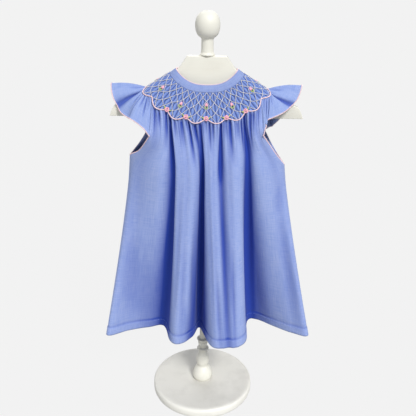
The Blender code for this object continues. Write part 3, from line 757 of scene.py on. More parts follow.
# Front and back: two panels of chambray, as wide as the hem and gathered up to the yoke. They are
# joined at the side seams, cut away at the armholes, and turned up in a deep stitched hem.
SEAM_COLUMN = 36
HEM_Z = 0.126
UNDERARM_Z = {"left": 0.413, "right": 0.402}
MIDDLE_BUST_Z = 0.409
SPREAD_POWER = 1.1
SWAY_START_Z = 0.467
SWAY = 0.0235
FOOT_SEAM = 0.010
HEM_DEPTH = 0.0145
HEM_STEP = 0.0004
PANEL_FINE = 4
FRONT_FOLDS = (
    # column, bust x, bust y, hem x, hem y
    (0, -0.1110, 0.0000, -0.1500, 0.0080),
    (3, -0.1060, -0.0170, -0.1605, -0.0370),
    (7, -0.0900, -0.0340, -0.1280, -0.0250),
    (10, -0.0680, -0.0455, -0.0980, -0.0150),
    (14, -0.0480, -0.0420, -0.0720, -0.0110),
    (17, -0.0415, -0.0505, -0.0595, -0.0480),
    (21, -0.0270, -0.0530, -0.0460, -0.0595),
    (26, -0.0130, -0.0510, -0.0265, -0.0410),
    (30, -0.0068, -0.0445, -0.0135, -0.0150),
    (34, -0.0005, -0.0505, 0.0030, -0.0570),
    (39, 0.0080, -0.0530, 0.0150, -0.0690),
    (44, 0.0190, -0.0465, 0.0335, -0.0665),
    (49, 0.0340, -0.0530, 0.0475, -0.0635),
    (53, 0.0465, -0.0500, 0.0610, -0.0410),
    (56, 0.0545, -0.0420, 0.0655, 0.0060),
    (60, 0.0640, -0.0415, 0.0830, 0.0135),
    (63, 0.0770, -0.0420, 0.1070, -0.0040),
    (66, 0.0940, -0.0320, 0.1350, -0.0230),
    (70, 0.1095, -0.0150, 0.1600, -0.0250),
    (72, 0.1130, 0.0000, 0.1510, 0.0120),
)
BACK_FOLDS = (
    # column, bust x, bust y, hem x, hem y
    (0, 0.1130, 0.0000, 0.1510, 0.0120),
    (5, 0.1040, 0.0250, 0.1520, 0.0420),
    (10, 0.0820, 0.0400, 0.1180, 0.0540),
    (15, 0.0620, 0.0400, 0.0880, 0.0370),
    (20, 0.0450, 0.0500, 0.0640, 0.0640),
    (26, 0.0310, 0.0450, 0.0450, 0.0500),
    (31, 0.0180, 0.0470, 0.0260, 0.0340),
    (36, 0.0000, 0.0500, 0.0000, 0.0640),
    (41, -0.0170, 0.0465, -0.0280, 0.0370),
    (46, -0.0330, 0.0500, -0.0500, 0.0660),
    (52, -0.0480, 0.0450, -0.0660, 0.0520),
    (57, -0.0620, 0.0400, -0.0880, 0.0320),
    (62, -0.0830, 0.0395, -0.1160, 0.0510),
    (67, -0.1030, 0.0240, -0.1500, 0.0400),
    (72, -0.1110, 0.0000, -0.1500, 0.0080),
)
# Slits between the gathers under the smocking
FRONT_GATHERS = (
    # column from the middle, length, depth, width in columns, drift in columns
    (-34.0, 0.034, 0.0016, 0.9, -1.5),
    (-31.0, 0.050, 0.0032, 1.0, -1.4),
    (-28.0, 0.030, 0.0022, 0.9, -1.2),
    (-24.5, 0.060, 0.0036, 1.0, -0.6),
    (-21.2, 0.090, 0.0044, 1.2, -0.2),
    (-17.5, 0.030, 0.0018, 0.8, 0.0),
    (-14.6, 0.042, 0.0028, 0.9, -0.4),
    (-12.3, 0.024, 0.0016, 0.8, 0.2),
    (-10.4, 0.075, 0.0040, 1.0, -0.5),
    (-7.2, 0.028, 0.0016, 0.8, 0.0),
    (-6.4, 0.040, 0.0024, 0.9, 0.0),
    (-3.2, 0.120, 0.0056, 1.1, -2.4),
    (-0.9, 0.022, 0.0015, 0.7, 0.0),
    (1.8, 0.046, 0.0028, 0.9, 0.2),
    (3.7, 0.030, 0.0018, 0.8, 0.2),
    (8.4, 0.095, 0.0046, 1.0, -0.6),
    (10.9, 0.030, 0.0020, 0.8, 0.2),
    (13.6, 0.070, 0.0036, 1.0, 0.4),
    (17.0, 0.034, 0.0024, 0.9, 0.5),
    (19.6, 0.050, 0.0028, 0.9, 0.6),
    (22.6, 0.085, 0.0044, 1.0, 0.2),
    (26.6, 0.070, 0.0038, 1.1, -1.6),
    (28.0, 0.040, 0.0020, 1.0, 1.2),
    (31.0, 0.030, 0.0016, 0.9, 1.2),
    (33.5, 0.034, 0.0016, 0.9, 1.5),
)
BACK_GATHERS = tuple(
    (column + 0.6 * math.sin(column), length, depth, width, 0.0)
    for column, length, depth, width, _ in FRONT_GATHERS
    if abs(column) > 4.5
)
# Soft troughs and ridges lower down: where they run, and how deep they are
FRONT_CREASES = (
    # start column, start z, end column, end z, depth, width in columns
    (15.0, 0.465, 14.9, 0.100, 0.0052, 1.5),
    (30.6, 0.450, 29.4, 0.100, 0.0064, 1.6),
    (44.3, 0.450, 43.2, 0.090, 0.0032, 1.3),
    (58.4, 0.455, 54.8, 0.090, 0.0068, 2.2),
    (26.0, 0.330, 25.0, 0.100, 0.0018, 1.6),
    (36.0, 0.370, 37.0, 0.110, 0.0018, 1.8),
    (48.4, 0.300, 47.4, 0.100, 0.0028, 1.1),
    (19.0, 0.390, 18.4, 0.160, 0.0020, 1.1),
    (6.0, 0.300, 8.5, 0.110, 0.0030, 2.2),
    (11.0, 0.330, 11.8, 0.170, -0.0012, 1.6),
    (21.4, 0.300, 22.0, 0.110, 0.0024, 1.3),
    (23.5, 0.260, 25.0, 0.140, -0.0012, 1.2),
    (39.6, 0.260, 40.4, 0.110, 0.0026, 1.2),
    (46.0, 0.330, 46.5, 0.180, 0.0014, 1.4),
    (61.5, 0.250, 62.5, 0.140, -0.0014, 1.5),
    (66.8, 0.330, 67.3, 0.120, 0.0030, 1.5),
    (69.0, 0.390, 66.0, 0.330, 0.0012, 1.4),
)
BACK_CREASES = (
    # start column, start z, end column, end z, depth, width in columns
    (15.6, 0.450, 15.2, 0.100, 0.0046, 1.4),
    (31.4, 0.430, 31.0, 0.100, 0.0062, 1.5),
    (41.6, 0.440, 41.2, 0.100, 0.0054, 1.4),
    (56.2, 0.450, 57.0, 0.100, 0.0048, 1.5),
    (25.4, 0.360, 26.2, 0.110, 0.0030, 1.2),
    (47.4, 0.330, 48.4, 0.120, 0.0026, 1.2),
    (8.0, 0.320, 7.0, 0.150, 0.0026, 2.0),
    (17.5, 0.280, 17.0, 0.140, -0.0012, 1.5),
    (28.5, 0.260, 28.0, 0.128, 0.0016, 1.3),
    (44.0, 0.300, 43.5, 0.160, 0.0014, 1.3),
    (54.0, 0.260, 55.0, 0.140, -0.0012, 1.6),
    (64.5, 0.330, 65.0, 0.160, 0.0018, 1.9),
)
EDGE_REACH = {"front": (14, 12), "back": (15, 15)}
EDGE_ROUNDNESS = {"front": 0.9, "back": 0.6}
ARMHOLES = {
    # seam end, then the middle of the curve
    ("front", "left"): ((-0.0765, -0.0445, 0.4535), (-0.0930, -0.0245, 0.4280)),
    ("front", "right"): ((0.0770, -0.0445, 0.4570), (0.0980, -0.0240, 0.4240)),
    ("back", "left"): ((-0.0860, 0.0420, 0.4450), (-0.0985, 0.0290, 0.4250)),
    ("back", "right"): ((0.0865, 0.0420, 0.4430), (0.0990, 0.0285, 0.4200)),
}
UNDERARMS = {
    "left": (-0.1110, 0.0, 0.4130),
    "right": (0.1130, 0.0, 0.4020),
}


def sway(points):
    """The dress hangs a little to one side of the post."""
    moved = points.copy()
    moved[..., 0] += SWAY * np.maximum(0, SWAY_START_Z - points[..., 2])
    return moved


def grid_normals(grid, outside):
    normals = unit(np.cross(np.gradient(grid, axis=0), np.gradient(grid, axis=1)))
    middle = normals[grid.shape[0] // 2, grid.shape[1] // 2]
    return normals if np.dot(middle, outside) > 0 else -normals


def yoke_edge(columns):
    down = foot_of_yoke(columns) + FOOT_SEAM
    return yoke_base(columns, down), yoke_normal(columns, down)


def seam_normal(points):
    return unit(points * np.array([1.0, 2.0, 0.0]))


def armhole_line(face, side, shares):
    """The panel's side at each share of the way from the yoke, 0, to the underarm, 1."""
    column = SEAM_COLUMN if side == "right" else -SEAM_COLUMN
    if face == "back":
        column = RING_COLUMNS / 2 - SEAM_COLUMN if side == "right" else SEAM_COLUMN - RING_COLUMNS / 2
    top = yoke_edge(np.array([column]))[0][0]
    seam_end, curve = (np.array(point) for point in ARMHOLES[(face, side)])
    straight = top + (seam_end - top) * np.clip(shares * 2, 0, 1)[:, None]
    curved = smooth_line([0.5, 0.75, 1.0], np.array([seam_end, curve, UNDERARMS[side]]), shares)
    return np.where((shares < 0.5)[:, None], straight, curved)


def chord_pattern(points):
    chord = points[-1, :2] - points[0, :2]
    away = points[:, :2] - points[0, :2]
    beside = np.array([-chord[1], chord[0]])
    return np.column_stack([away @ chord, away @ beside]) / (chord @ chord)


def drawn_in(top, bust, inner_end, edge, share, roundness):
    pattern = chord_pattern(top) * (1 - share) + chord_pattern(bust) * share
    chord = inner_end[:2] - edge[:2]
    beside = np.array([-chord[1], chord[0]])
    ease = 1 - (1 - roundness) * math.sin(math.pi * share) ** 0.5
    return edge[:2] + pattern[:, :1] * chord + pattern[:, 1:] * beside * ease


def softened(grid, passes, keep):
    """Smooths a grid down its rows. Keep is 1 where the grid stays as it is."""
    for _ in range(passes):
        middle = grid[1:-1] * 0.5 + (grid[:-2] + grid[2:]) * 0.25
        grid[1:-1] = grid[1:-1] * keep[1:-1, :, None] + middle * (1 - keep[1:-1, :, None])
    return grid


def panel_surface(face, folds):
    """The plain surface of the front or back: fine rows from the yoke to the hem, on its inner side."""
    knots = [row[0] for row in folds]
    columns = np.linspace(0, knots[-1], knots[-1] * PANEL_FINE + 1)
    bust = smooth_line(knots, [row[1:3] for row in folds], columns)
    hem = smooth_line(knots, [row[3:5] for row in folds], columns)
    if face == "front":
        ring_columns = columns - SEAM_COLUMN
        near_side, far_side = "left", "right"
    else:
        ring_columns = RING_COLUMNS / 2 - SEAM_COLUMN + columns
        near_side, far_side = "right", "left"
    top, _ = yoke_edge(ring_columns)
    last = columns[-1]
    near_reach, far_reach = EDGE_REACH[face]
    near = np.clip(1 - columns / near_reach, 0, 1) ** 2
    far = np.clip(1 - (last - columns) / far_reach, 0, 1) ** 2
    bust_z = MIDDLE_BUST_Z + (UNDERARM_Z[near_side] - MIDDLE_BUST_Z) * near
    bust_z = bust_z + (UNDERARM_Z[far_side] - MIDDLE_BUST_Z) * far
    bust_points = np.column_stack([bust, bust_z])
    shares = np.linspace(0, 1, 33)
    near_edge = armhole_line(face, near_side, shares)
    far_edge = armhole_line(face, far_side, shares)
    near_drawn = slice(0, near_reach * PANEL_FINE + 1)
    far_drawn = slice(None, -far_reach * PANEL_FINE - 2, -1)
    roundness = EDGE_ROUNDNESS[face]
    rows = []
    for place, share in enumerate(shares):
        row = top + (bust_points - top) * share
        row[:, 2] += (near_edge[place][2] - row[0, 2]) * near + (far_edge[place][2] - row[-1, 2]) * far
        if 0 < share < 1:
            for drawn, edge in ((near_drawn, near_edge[place]), (far_drawn, far_edge[place])):
                inner_end = row[drawn][-1]
                row[drawn, :2] = drawn_in(top[drawn], bust_points[drawn], inner_end, edge, share, roundness)
        rows.append(row)
    stitched = 1 - HEM_DEPTH / (MIDDLE_BUST_Z - HEM_Z)
    skirt = np.concatenate([np.linspace(0, stitched, 66)[1:], np.linspace(stitched, 1, 7)[1:]])
    for share in skirt:
        x = bust[:, 0] + (hem[:, 0] - bust[:, 0]) * share**SPREAD_POWER
        y = bust[:, 1] + (hem[:, 1] - bust[:, 1]) * share
        rows.append(np.column_stack([x, y, bust_z + (HEM_Z - bust_z) * share]))
    grid = np.array(rows)
    beside = np.minimum(columns, last - columns)
    keep = np.broadcast_to(np.clip(1 - beside / 4, 0, 1), grid.shape[:2]).copy()
    keep[-8:] = 1
    return softened(grid, 40, keep), ring_columns, columns, len(shares)


def blurred(values, reach):
    """Values averaged over a reach of columns to either side, with their slope carried on past the ends."""
    span = reach * PANEL_FINE
    weights = np.hanning(2 * span + 3)[1:-1]
    weights /= weights.sum()
    padded = np.pad(values, ((0, 0), (span, span)), mode="reflect", reflect_type="odd")
    return np.array([np.convolve(row, weights, mode="valid") for row in padded])


def fold_depths(forward, beside):
    """How deep each point lies between the crests beside it, from 0 to 1."""
    local = forward - blurred(forward, 14)
    span = 5 * PANEL_FINE
    padded = np.pad(local, ((0, 0), (span, span)), mode="edge")
    crests = np.lib.stride_tricks.sliding_window_view(padded, 2 * span + 1, axis=1).max(axis=-1)
    sunk = blurred(crests, 3) - local
    return np.clip((sunk - 0.003) / 0.016, 0, 1) * np.clip((beside - 8) / 5, 0, 1)


def panel_piece(face, folds, gathers, creases, node, flat):
    grid, ring_columns, columns, bust_row = panel_surface(face, folds)
    outside = (0, -1, 0) if face == "front" else (0, 1, 0)
    normals = grid_normals(grid, outside)
    last = columns[-1]
    reach = 4
    seam_row = bust_row // 2 + 1
    for column, beside in ((0, columns), (-1, last - columns)):
        side = np.array([np.sign(grid[-1, column, 0]), 0.0, 0.0])
        edge = np.repeat(side[None, :], len(grid), axis=0)
        edge[:seam_row] = seam_normal(grid[:seam_row, column])
        turn = np.clip((np.arange(len(grid)) - seam_row) / (bust_row - seam_row), 0, 1)[:, None]
        edge[seam_row:] = unit(edge[seam_row - 1] * (1 - turn[seam_row:]) + side * turn[seam_row:])
        share = np.clip(1 - beside / reach, 0, 1)[None, :, None]
        normals = unit(edge[:, None, :] * share + normals * (1 - share))
    top_normals = yoke_normal(ring_columns, foot_of_yoke(ring_columns))
    from_top = np.linalg.norm(np.diff(grid, axis=0), axis=2)
    from_top = np.concatenate([np.zeros((1, grid.shape[1])), np.cumsum(from_top, axis=0)])
    near_top = np.clip(1 - from_top / 0.012, 0, 1)[..., None]
    normals = unit(top_normals[None] * near_top + normals * (1 - near_top))

    height = np.full(grid.shape[:2], CLOTH)
    quiet = np.clip(np.minimum(columns, last - columns) / 5, 0, 1)[None, :]
    pleats = pleat_ridge(ring_columns)[None, :]
    pleat_reach = 0.014 + 0.014 * np.abs(np.sin(1.7 * np.floor(ring_columns / 2)))
    fade = np.exp(-((from_top / pleat_reach[None, :]) ** 1.3))
    height += (PLEAT_HEIGHT + PLEAT_VALLEY) * 1.25 * (pleats - 0.35) * fade * (0.4 + 0.6 * quiet)
    slits = np.zeros(grid.shape[:2])
    middle = 0 if face == "front" else RING_COLUMNS / 2
    for column, length, depth, width, drift in gathers:
        share = np.clip(from_top / length, 0, 1)
        centre = middle + column + drift * share
        spread = width * (0.68 + 0.95 * share)
        amount = np.exp(-(((ring_columns[None, :] - centre) / spread) ** 2))
        rise = np.clip(from_top / 0.004, 0, 1)
        slits += amount * depth * rise * (1 - share**2) ** 1.5
    height -= slits * quiet
    low = np.zeros(grid.shape[:2])
    for start, start_z, end, end_z, depth, width in creases:
        along = np.clip((start_z - grid[..., 2]) / (start_z - end_z), 0, 1)
        centre = start + (end - start) * along
        amount = np.exp(-(((columns[None, :] - centre) / width) ** 2))
        low += amount * depth * np.sin(math.pi * np.clip(0.12 + 0.88 * along, 0, 1)) ** 0.8
    height -= low
    hem_rows = 6
    height[-hem_rows:] += HEM_STEP
    ripple = 0.00035 * np.sin(columns * 5.1) * np.sin(columns * 1.3 + 0.6)
    height[-hem_rows - 1] -= 0.0008 + ripple
    outer = sway(grid + normals * height[..., None])

    # Painted shade: how deep each point lies between the crests, the slits and creases, the valleys between the pleats
    # and the hem's stitching line darken the cloth there.
    depth = fold_depths(outer[..., 1] * outside[1], np.minimum(columns, last - columns))
    depth += np.clip(slits * quiet / 0.0034, 0, 0.8) + np.clip(low / 0.0075, 0, 0.7)
    depth += (1 - pleats) ** 2 * fade * 0.85 * quiet
    depth[-hem_rows - 1] += 0.35
    name = f"{face}_skirt"
    mesh = cloth_mesh(name, outer, depth, flat[0], flat[1])
    obj = shelled(add_piece(name, mesh, blue_chambray))
    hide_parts(node)
    return outer, normals, bust_row


FRONT_FLAT = (0.50, 0.365)
BACK_FLAT = (0.46, 0.365)
front_outer, front_normals, bust_row = panel_piece(
    "front", FRONT_FOLDS, FRONT_GATHERS, FRONT_CREASES, "front_panel", FRONT_FLAT
)
back_outer, back_normals, _ = panel_piece(
    "back", BACK_FOLDS, BACK_GATHERS, BACK_CREASES, "back_panel", BACK_FLAT
)

# Flutter sleeves: open strips of chambray, gathered along the yoke and free at the other edge, so
# that they stand out in stiff waves over the shoulder board.
SLEEVE_COLUMNS = 24
SLEEVE_BULGE = 0.0035
SLEEVE_FINE = 8
SLEEVE_ROWS = 42
# The sleeves' chambray is a darker copy of the blue chambray, a painted shade over the whole sleeve.
shaded_sleeve_chambray = chambray("shaded_sleeve_chambray", (0.18, 0.27, 0.60), (0.38, 0.46, 0.73), shade=0.75)
SLEEVE_HEMS = {
    "left": (
        # share of the way round from the front seam, x, y, z
        (0.00, -0.0765, -0.0445, 0.4535),
        (0.12, -0.0870, -0.0425, 0.4650),
        (0.24, -0.1030, -0.0385, 0.4755),
        (0.32, -0.1070, -0.0260, 0.4740),
        (0.39, -0.1190, -0.0165, 0.4800),
        (0.46, -0.1295, -0.0080, 0.4990),
        (0.53, -0.1328, 0.0040, 0.5138),
        (0.61, -0.1270, 0.0170, 0.4940),
        (0.69, -0.1140, 0.0270, 0.4670),
        (0.77, -0.1060, 0.0320, 0.4570),
        (0.87, -0.0985, 0.0415, 0.4500),
        (1.00, -0.0860, 0.0420, 0.4450),
    ),
    "right": (
        # share of the way round from the front seam, x, y, z
        (0.00, 0.0770, -0.0445, 0.4570),
        (0.08, 0.0795, -0.0430, 0.4625),
        (0.16, 0.0815, -0.0405, 0.4690),
        (0.24, 0.0835, -0.0365, 0.4770),
        (0.31, 0.0900, -0.0320, 0.4785),
        (0.39, 0.1095, -0.0190, 0.4855),
        (0.46, 0.1250, -0.0085, 0.4990),
        (0.53, 0.1318, 0.0030, 0.5155),
        (0.62, 0.1240, 0.0180, 0.4900),
        (0.71, 0.1070, 0.0310, 0.4610),
        (0.79, 0.0990, 0.0355, 0.4520),
        (0.88, 0.0955, 0.0410, 0.4480),
        (1.00, 0.0865, 0.0420, 0.4430),
    ),
}
SLEEVE_CREASES = {
    "left": (
        # share at the yoke, share at the hem, reach from the yoke, depth, width
        (0.05, 0.07, 0.45, 0.0012, 0.016),
        (0.11, 0.13, 0.75, 0.0020, 0.014),
        (0.175, 0.20, 0.55, 0.0016, 0.012),
        (0.235, 0.285, 1.00, 0.0036, 0.014),
        (0.325, 0.36, 0.60, 0.0016, 0.014),
        (0.40, 0.42, 1.00, 0.0030, 0.015),
        (0.47, 0.49, 0.50, 0.0012, 0.016),
        (0.56, 0.57, 0.90, 0.0018, 0.022),
        (0.66, 0.68, 0.60, 0.0012, 0.018),
        (0.76, 0.77, 0.80, 0.0016, 0.018),
        (0.88, 0.88, 0.60, 0.0012, 0.018),
    ),
    "right": (
        # share at the yoke, share at the hem, reach from the yoke, depth, width
        (0.06, 0.05, 0.50, 0.0012, 0.016),
        (0.13, 0.12, 0.80, 0.0019, 0.014),
        (0.21, 0.22, 1.00, 0.0026, 0.014),
        (0.29, 0.32, 0.60, 0.0016, 0.014),
        (0.37, 0.43, 1.00, 0.0030, 0.013),
        (0.47, 0.49, 0.50, 0.0012, 0.016),
        (0.57, 0.58, 0.80, 0.0016, 0.020),
        (0.67, 0.68, 0.60, 0.0012, 0.018),
        (0.78, 0.78, 0.80, 0.0016, 0.018),
        (0.89, 0.89, 0.60, 0.0012, 0.018),
    ),
}


def sleeve_piece(side):
    shares = np.linspace(0, 1, SLEEVE_COLUMNS * SLEEVE_FINE + 1)
    table = SLEEVE_HEMS[side]
    hem = smooth_line([row[0] for row in table], [row[1:4] for row in table], shares)
    steps = shares * SLEEVE_COLUMNS
    ring_columns = SEAM_COLUMN + steps if side == "right" else -SEAM_COLUMN - steps
    top, top_normals = yoke_edge(ring_columns)
    arch = SLEEVE_BULGE * np.sin(math.pi * shares) ** 0.5
    down = np.linspace(0, 1, SLEEVE_ROWS + 1)[:, None]
    lift = (arch * np.sin(math.pi * down))[..., None]
    grid = top + (hem - top) * down[..., None] + top_normals * lift
    normals = grid_normals(grid, (0, 0, 1))
    for column, beside in ((0, steps), (-1, SLEEVE_COLUMNS - steps)):
        edge = seam_normal(grid[:, column])[:, None, :]
        share = np.clip(1 - beside / 2, 0, 1)[None, :, None]
        normals = unit(edge * share + normals * (1 - share))
    near_top = np.clip(1 - down / 0.3, 0, 1)[..., None]
    normals = unit(top_normals * near_top + normals * (1 - near_top))
    quiet = np.clip(6 * np.sin(math.pi * shares), 0, 1)
    height = CLOTH + (PLEAT_HEIGHT + PLEAT_VALLEY) * (pleat_ridge(ring_columns) - 0.35) * quiet * np.exp(-down / 0.36)
    slits = np.zeros(height.shape)
    for start, end, reach, depth, width in SLEEVE_CREASES[side]:
        along = np.clip(down / reach, 0, 1)
        centre = start + (end - start) * down
        amount = np.exp(-(((shares - centre) / (width * (0.5 + 0.6 * down))) ** 2))
        slits = slits + amount * depth * 1.4 * np.clip(down / 0.08, 0, 1) * (1 - along**2 * (1 if reach < 1 else 0.25))
    height = height - slits
    roll = 0.0006 * np.clip((down - 0.95) / 0.05, 0, 1)
    outer = grid + normals * (height + roll)[..., None]
    outer = sway(outer)
    name = f"flutter_sleeve_{side}"
    flat = (0.19, 0.052)
    # Painted shade in the sleeve's creases and in the valleys between its pleats.
    depth = slits / 0.0025 + (1 - pleat_ridge(ring_columns)) ** 2 * quiet * np.exp(-down / 0.3) * 0.8
    mesh = cloth_mesh(name, outer, depth, flat[0], flat[1])
    obj = shelled(add_piece(name, mesh, shaded_sleeve_chambray), 0.0008)
    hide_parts(f"sleeve_{side}")
    return outer, normals


sleeve_edges = {side: sleeve_piece(side) for side in ("left", "right")}

# Back placket and buttons: a narrow strip over the slit at the middle of the back, with three small
# four-holed pearly buttons sewn on with thread.
PLACKET_HALF_WIDTH = 0.006
PLACKET_CLOTH = 0.0011
COLUMN_WIDTH = 0.0022
BUTTON_RADIUS = 0.0045
BUTTON_SHARES = (0.10, 0.42, 0.74)
PLEAT_CLEARANCE = CLOTH + 0.0013 + SEAM_GAP


def placket_lines():
    """The strip's inner points, across and down, from the band to below the yoke."""
    across = np.linspace(-1, 1, 9)
    rows = []
    for down in np.linspace(0.04, 1.0, 15):
        columns = RING_COLUMNS / 2 + across * PLACKET_HALF_WIDTH / COLUMN_WIDTH
        rows.append(yoke_base(columns, down) + yoke_normal(columns, down) * PLEAT_CLEARANCE)
    middle = back_outer.shape[1] // 2
    for place in range(1, 25):
        point = back_outer[place, middle]
        row = np.repeat(point[None, :], 9, axis=0)
        row[:, 0] -= across * PLACKET_HALF_WIDTH
        row[:, 1] = np.maximum(point[1] + 0.0012, rows[14][4, 1] + (place / 24) * (back_outer[24, middle, 1] + 0.0009 - rows[14][4, 1]))
        rows.append(row)
    return np.array(rows)


def back_placket():
    base = placket_lines()
    normals = grid_normals(base, (0, 1, 0))
    crown = (np.array([0.55, 0.95, 1.0, 1.0, 1.0, 1.0, 1.0, 0.95, 0.55]) * PLACKET_CLOTH)[None, :, None]
    outer = base + normals * crown
    sections = np.concatenate([outer, base[:, ::-1]], axis=1)
    mesh = swept_mesh("placket_strip", sections, 0.085, 0.012)
    obj = add_piece("placket_strip", mesh, blue_chambray)
    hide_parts("back_placket")
    return outer, normals


placket_outer, placket_normals = back_placket()

pearl_shell, pearl_nodes, pearl_links, pearl_shader = new_material("pearl_shell", 0.22)
pearl_place = pearl_nodes.new("ShaderNodeTexCoord")
pearl_bands = noise_node(pearl_shell.node_tree, pearl_place.outputs["Object"], 420, (1, 1, 3), 4.0)
pearl_links.new(
    mix_colours(pearl_shell.node_tree, pearl_bands, (0.80, 0.83, 0.88, 1.0), (0.90, 0.88, 0.84, 1.0)),
    pearl_shader.inputs["Base Color"],
)
pearl_shader.inputs["Coat Weight"].default_value = 0.5


def pearl_button(number, share):
    """A turned disc with a raised rim and four drilled holes."""
    low, high = (np.array(corner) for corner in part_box(f"back_button_{number}"))
    centre = (low + high) / 2
    line = placket_outer[:, 4]
    nearest = int(np.argmin(np.linalg.norm(line - centre, axis=1)))
    out = placket_normals[nearest, 4]
    side = np.array([1.0, 0.0, 0.0])
    up = np.cross(out, side)
    profile = (
        (0.0040, -0.0011), (0.0045, -0.0006), (0.0045, 0.0004), (0.0042, 0.0010),
        (0.0036, 0.0011), (0.0031, 0.0006), (0.0024, 0.0004),
    )
    made = bmesh.new()
    rings = []
    for radius, height in profile:
        angles = [2 * math.pi * step / 32 for step in range(32)]
        rings.append([made.verts.new((radius * math.cos(a), radius * math.sin(a), height)) for a in angles])
    for lower, upper in zip(rings, rings[1:]):
        for step in range(32):
            after = (step + 1) % 32
            made.faces.new((lower[step], lower[after], upper[after], upper[step]))
    made.faces.new(reversed(rings[0]))
    made.faces.new(rings[-1])
    disc = bpy.data.meshes.new("button_disc")
    made.to_mesh(disc)
    made.free()
    drilled = bmesh.new()
    for x, y in ((-1, -1), (1, -1), (1, 1), (-1, 1)):
        bmesh.ops.create_cone(
            drilled, cap_ends=True, segments=10, radius1=0.00055, radius2=0.00055, depth=0.006,
            matrix=Matrix.Translation((x * 0.0010, y * 0.0010, 0)),
        )
    holes = bpy.data.meshes.new("button_holes")
    drilled.to_mesh(holes)
    drilled.free()
    disc_object = bpy.data.objects.new("button_disc", disc)
    holes_object = bpy.data.objects.new("button_holes", holes)
    for helper in (disc_object, holes_object):
        scene.collection.objects.link(helper)
    cut = disc_object.modifiers.new("drilling", "BOOLEAN")
    cut.object = holes_object
    mesh = bpy.data.meshes.new_from_object(disc_object.evaluated_get(bpy.context.evaluated_depsgraph_get()))
    bpy.data.objects.remove(disc_object)
    bpy.data.objects.remove(holes_object)
    place = np.eye(4)
    place[:3, :3] = np.column_stack([side, up, out])
    place[:3, 3] = centre
    mesh.transform(Matrix(place.tolist()))
    obj = add_piece(f"pearl_button_{number}", mesh, pearl_shell)
    mesh.set_sharp_from_angle(angle=math.radians(40))
    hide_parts(f"back_button_{number}")
    return centre, side, up, out


button_places = [pearl_button(number, share) for number, share in enumerate(BUTTON_SHARES, start=1)]

# Lattice of smocking thread: ivory stranded cotton, worked across the pleats in long crossing
# diagonals. Each stitch lies over one pleat and leans a little, so the line looks like a fine rope.
THREAD_LIFT = 0.00035
STITCH_TREE_INPUTS = (
    ("Spacing", 0.0020), ("Length", 0.0024), ("Width", 0.0008), ("Height", 0.0007), ("Slant", 0.0),
)


def stitch_tree():
    """Geometry Nodes that lay one stitch after another along lines of points."""
    tree = bpy.data.node_groups.new("stitches_along_lines", "GeometryNodeTree")
    tree.interface.new_socket("Lines", in_out="INPUT", socket_type="NodeSocketGeometry")
    for label, value in STITCH_TREE_INPUTS:
        socket = tree.interface.new_socket(label, in_out="INPUT", socket_type="NodeSocketFloat")
        socket.default_value = value
    tree.interface.new_socket("Thread", in_out="INPUT", socket_type="NodeSocketMaterial")
    tree.interface.new_socket("Stitches", in_out="OUTPUT", socket_type="NodeSocketGeometry")
    nodes, links = tree.nodes, tree.links
    given = nodes.new("NodeGroupInput")
    result = nodes.new("NodeGroupOutput")
    line = nodes.new("GeometryNodeMeshToCurve")
    even = nodes.new("GeometryNodeResampleCurve")
    even.mode = "LENGTH"
    stitch = nodes.new("GeometryNodeMeshUVSphere")
    stitch.inputs["Segments"].default_value = 6
    stitch.inputs["Rings"].default_value = 5
    stitch.inputs["Radius"].default_value = 0.5
    size = nodes.new("ShaderNodeCombineXYZ")
    lay = nodes.new("GeometryNodeInstanceOnPoints")
    tangent = nodes.new("GeometryNodeInputTangent")
    outward = nodes.new("GeometryNodeInputNamedAttribute")
    outward.data_type = "FLOAT_VECTOR"
    outward.inputs["Name"].default_value = "outward"
    along = nodes.new("FunctionNodeAlignRotationToVector")
    along.axis = "X"
    up = nodes.new("FunctionNodeAlignRotationToVector")
    up.axis = "Z"
    up.pivot_axis = "X"
    lean = nodes.new("FunctionNodeAxisAngleToRotation")
    lean.inputs["Axis"].default_value = (0, 0, 1)
    turn = nodes.new("FunctionNodeRotateRotation")
    turn.rotation_space = "LOCAL"
    real = nodes.new("GeometryNodeRealizeInstances")
    smooth = nodes.new("GeometryNodeSetShadeSmooth")
    thread = nodes.new("GeometryNodeSetMaterial")
    links.new(given.outputs["Lines"], line.inputs["Mesh"])
    links.new(line.outputs["Curve"], even.inputs["Curve"])
    links.new(given.outputs["Spacing"], even.inputs["Length"])
    links.new(even.outputs["Curve"], lay.inputs["Points"])
    links.new(stitch.outputs["Mesh"], lay.inputs["Instance"])
    for axis, label in (("X", "Length"), ("Y", "Width"), ("Z", "Height")):
        links.new(given.outputs[label], size.inputs[axis])
    links.new(size.outputs["Vector"], lay.inputs["Scale"])
    links.new(tangent.outputs["Tangent"], along.inputs["Vector"])
    links.new(along.outputs["Rotation"], up.inputs["Rotation"])
    links.new(outward.outputs["Attribute"], up.inputs["Vector"])
    links.new(given.outputs["Slant"], lean.inputs["Angle"])
    links.new(up.outputs["Rotation"], turn.inputs["Rotation"])
    links.new(lean.outputs["Rotation"], turn.inputs["Rotate By"])
    links.new(turn.outputs["Rotation"], lay.inputs["Rotation"])
    links.new(lay.outputs["Instances"], real.inputs["Geometry"])
    links.new(real.outputs["Geometry"], smooth.inputs["Geometry"])
    links.new(smooth.outputs["Geometry"], thread.inputs["Geometry"])
    links.new(given.outputs["Thread"], thread.inputs["Material"])
    links.new(thread.outputs["Geometry"], result.inputs["Stitches"])
    return tree


STITCHES = stitch_tree()


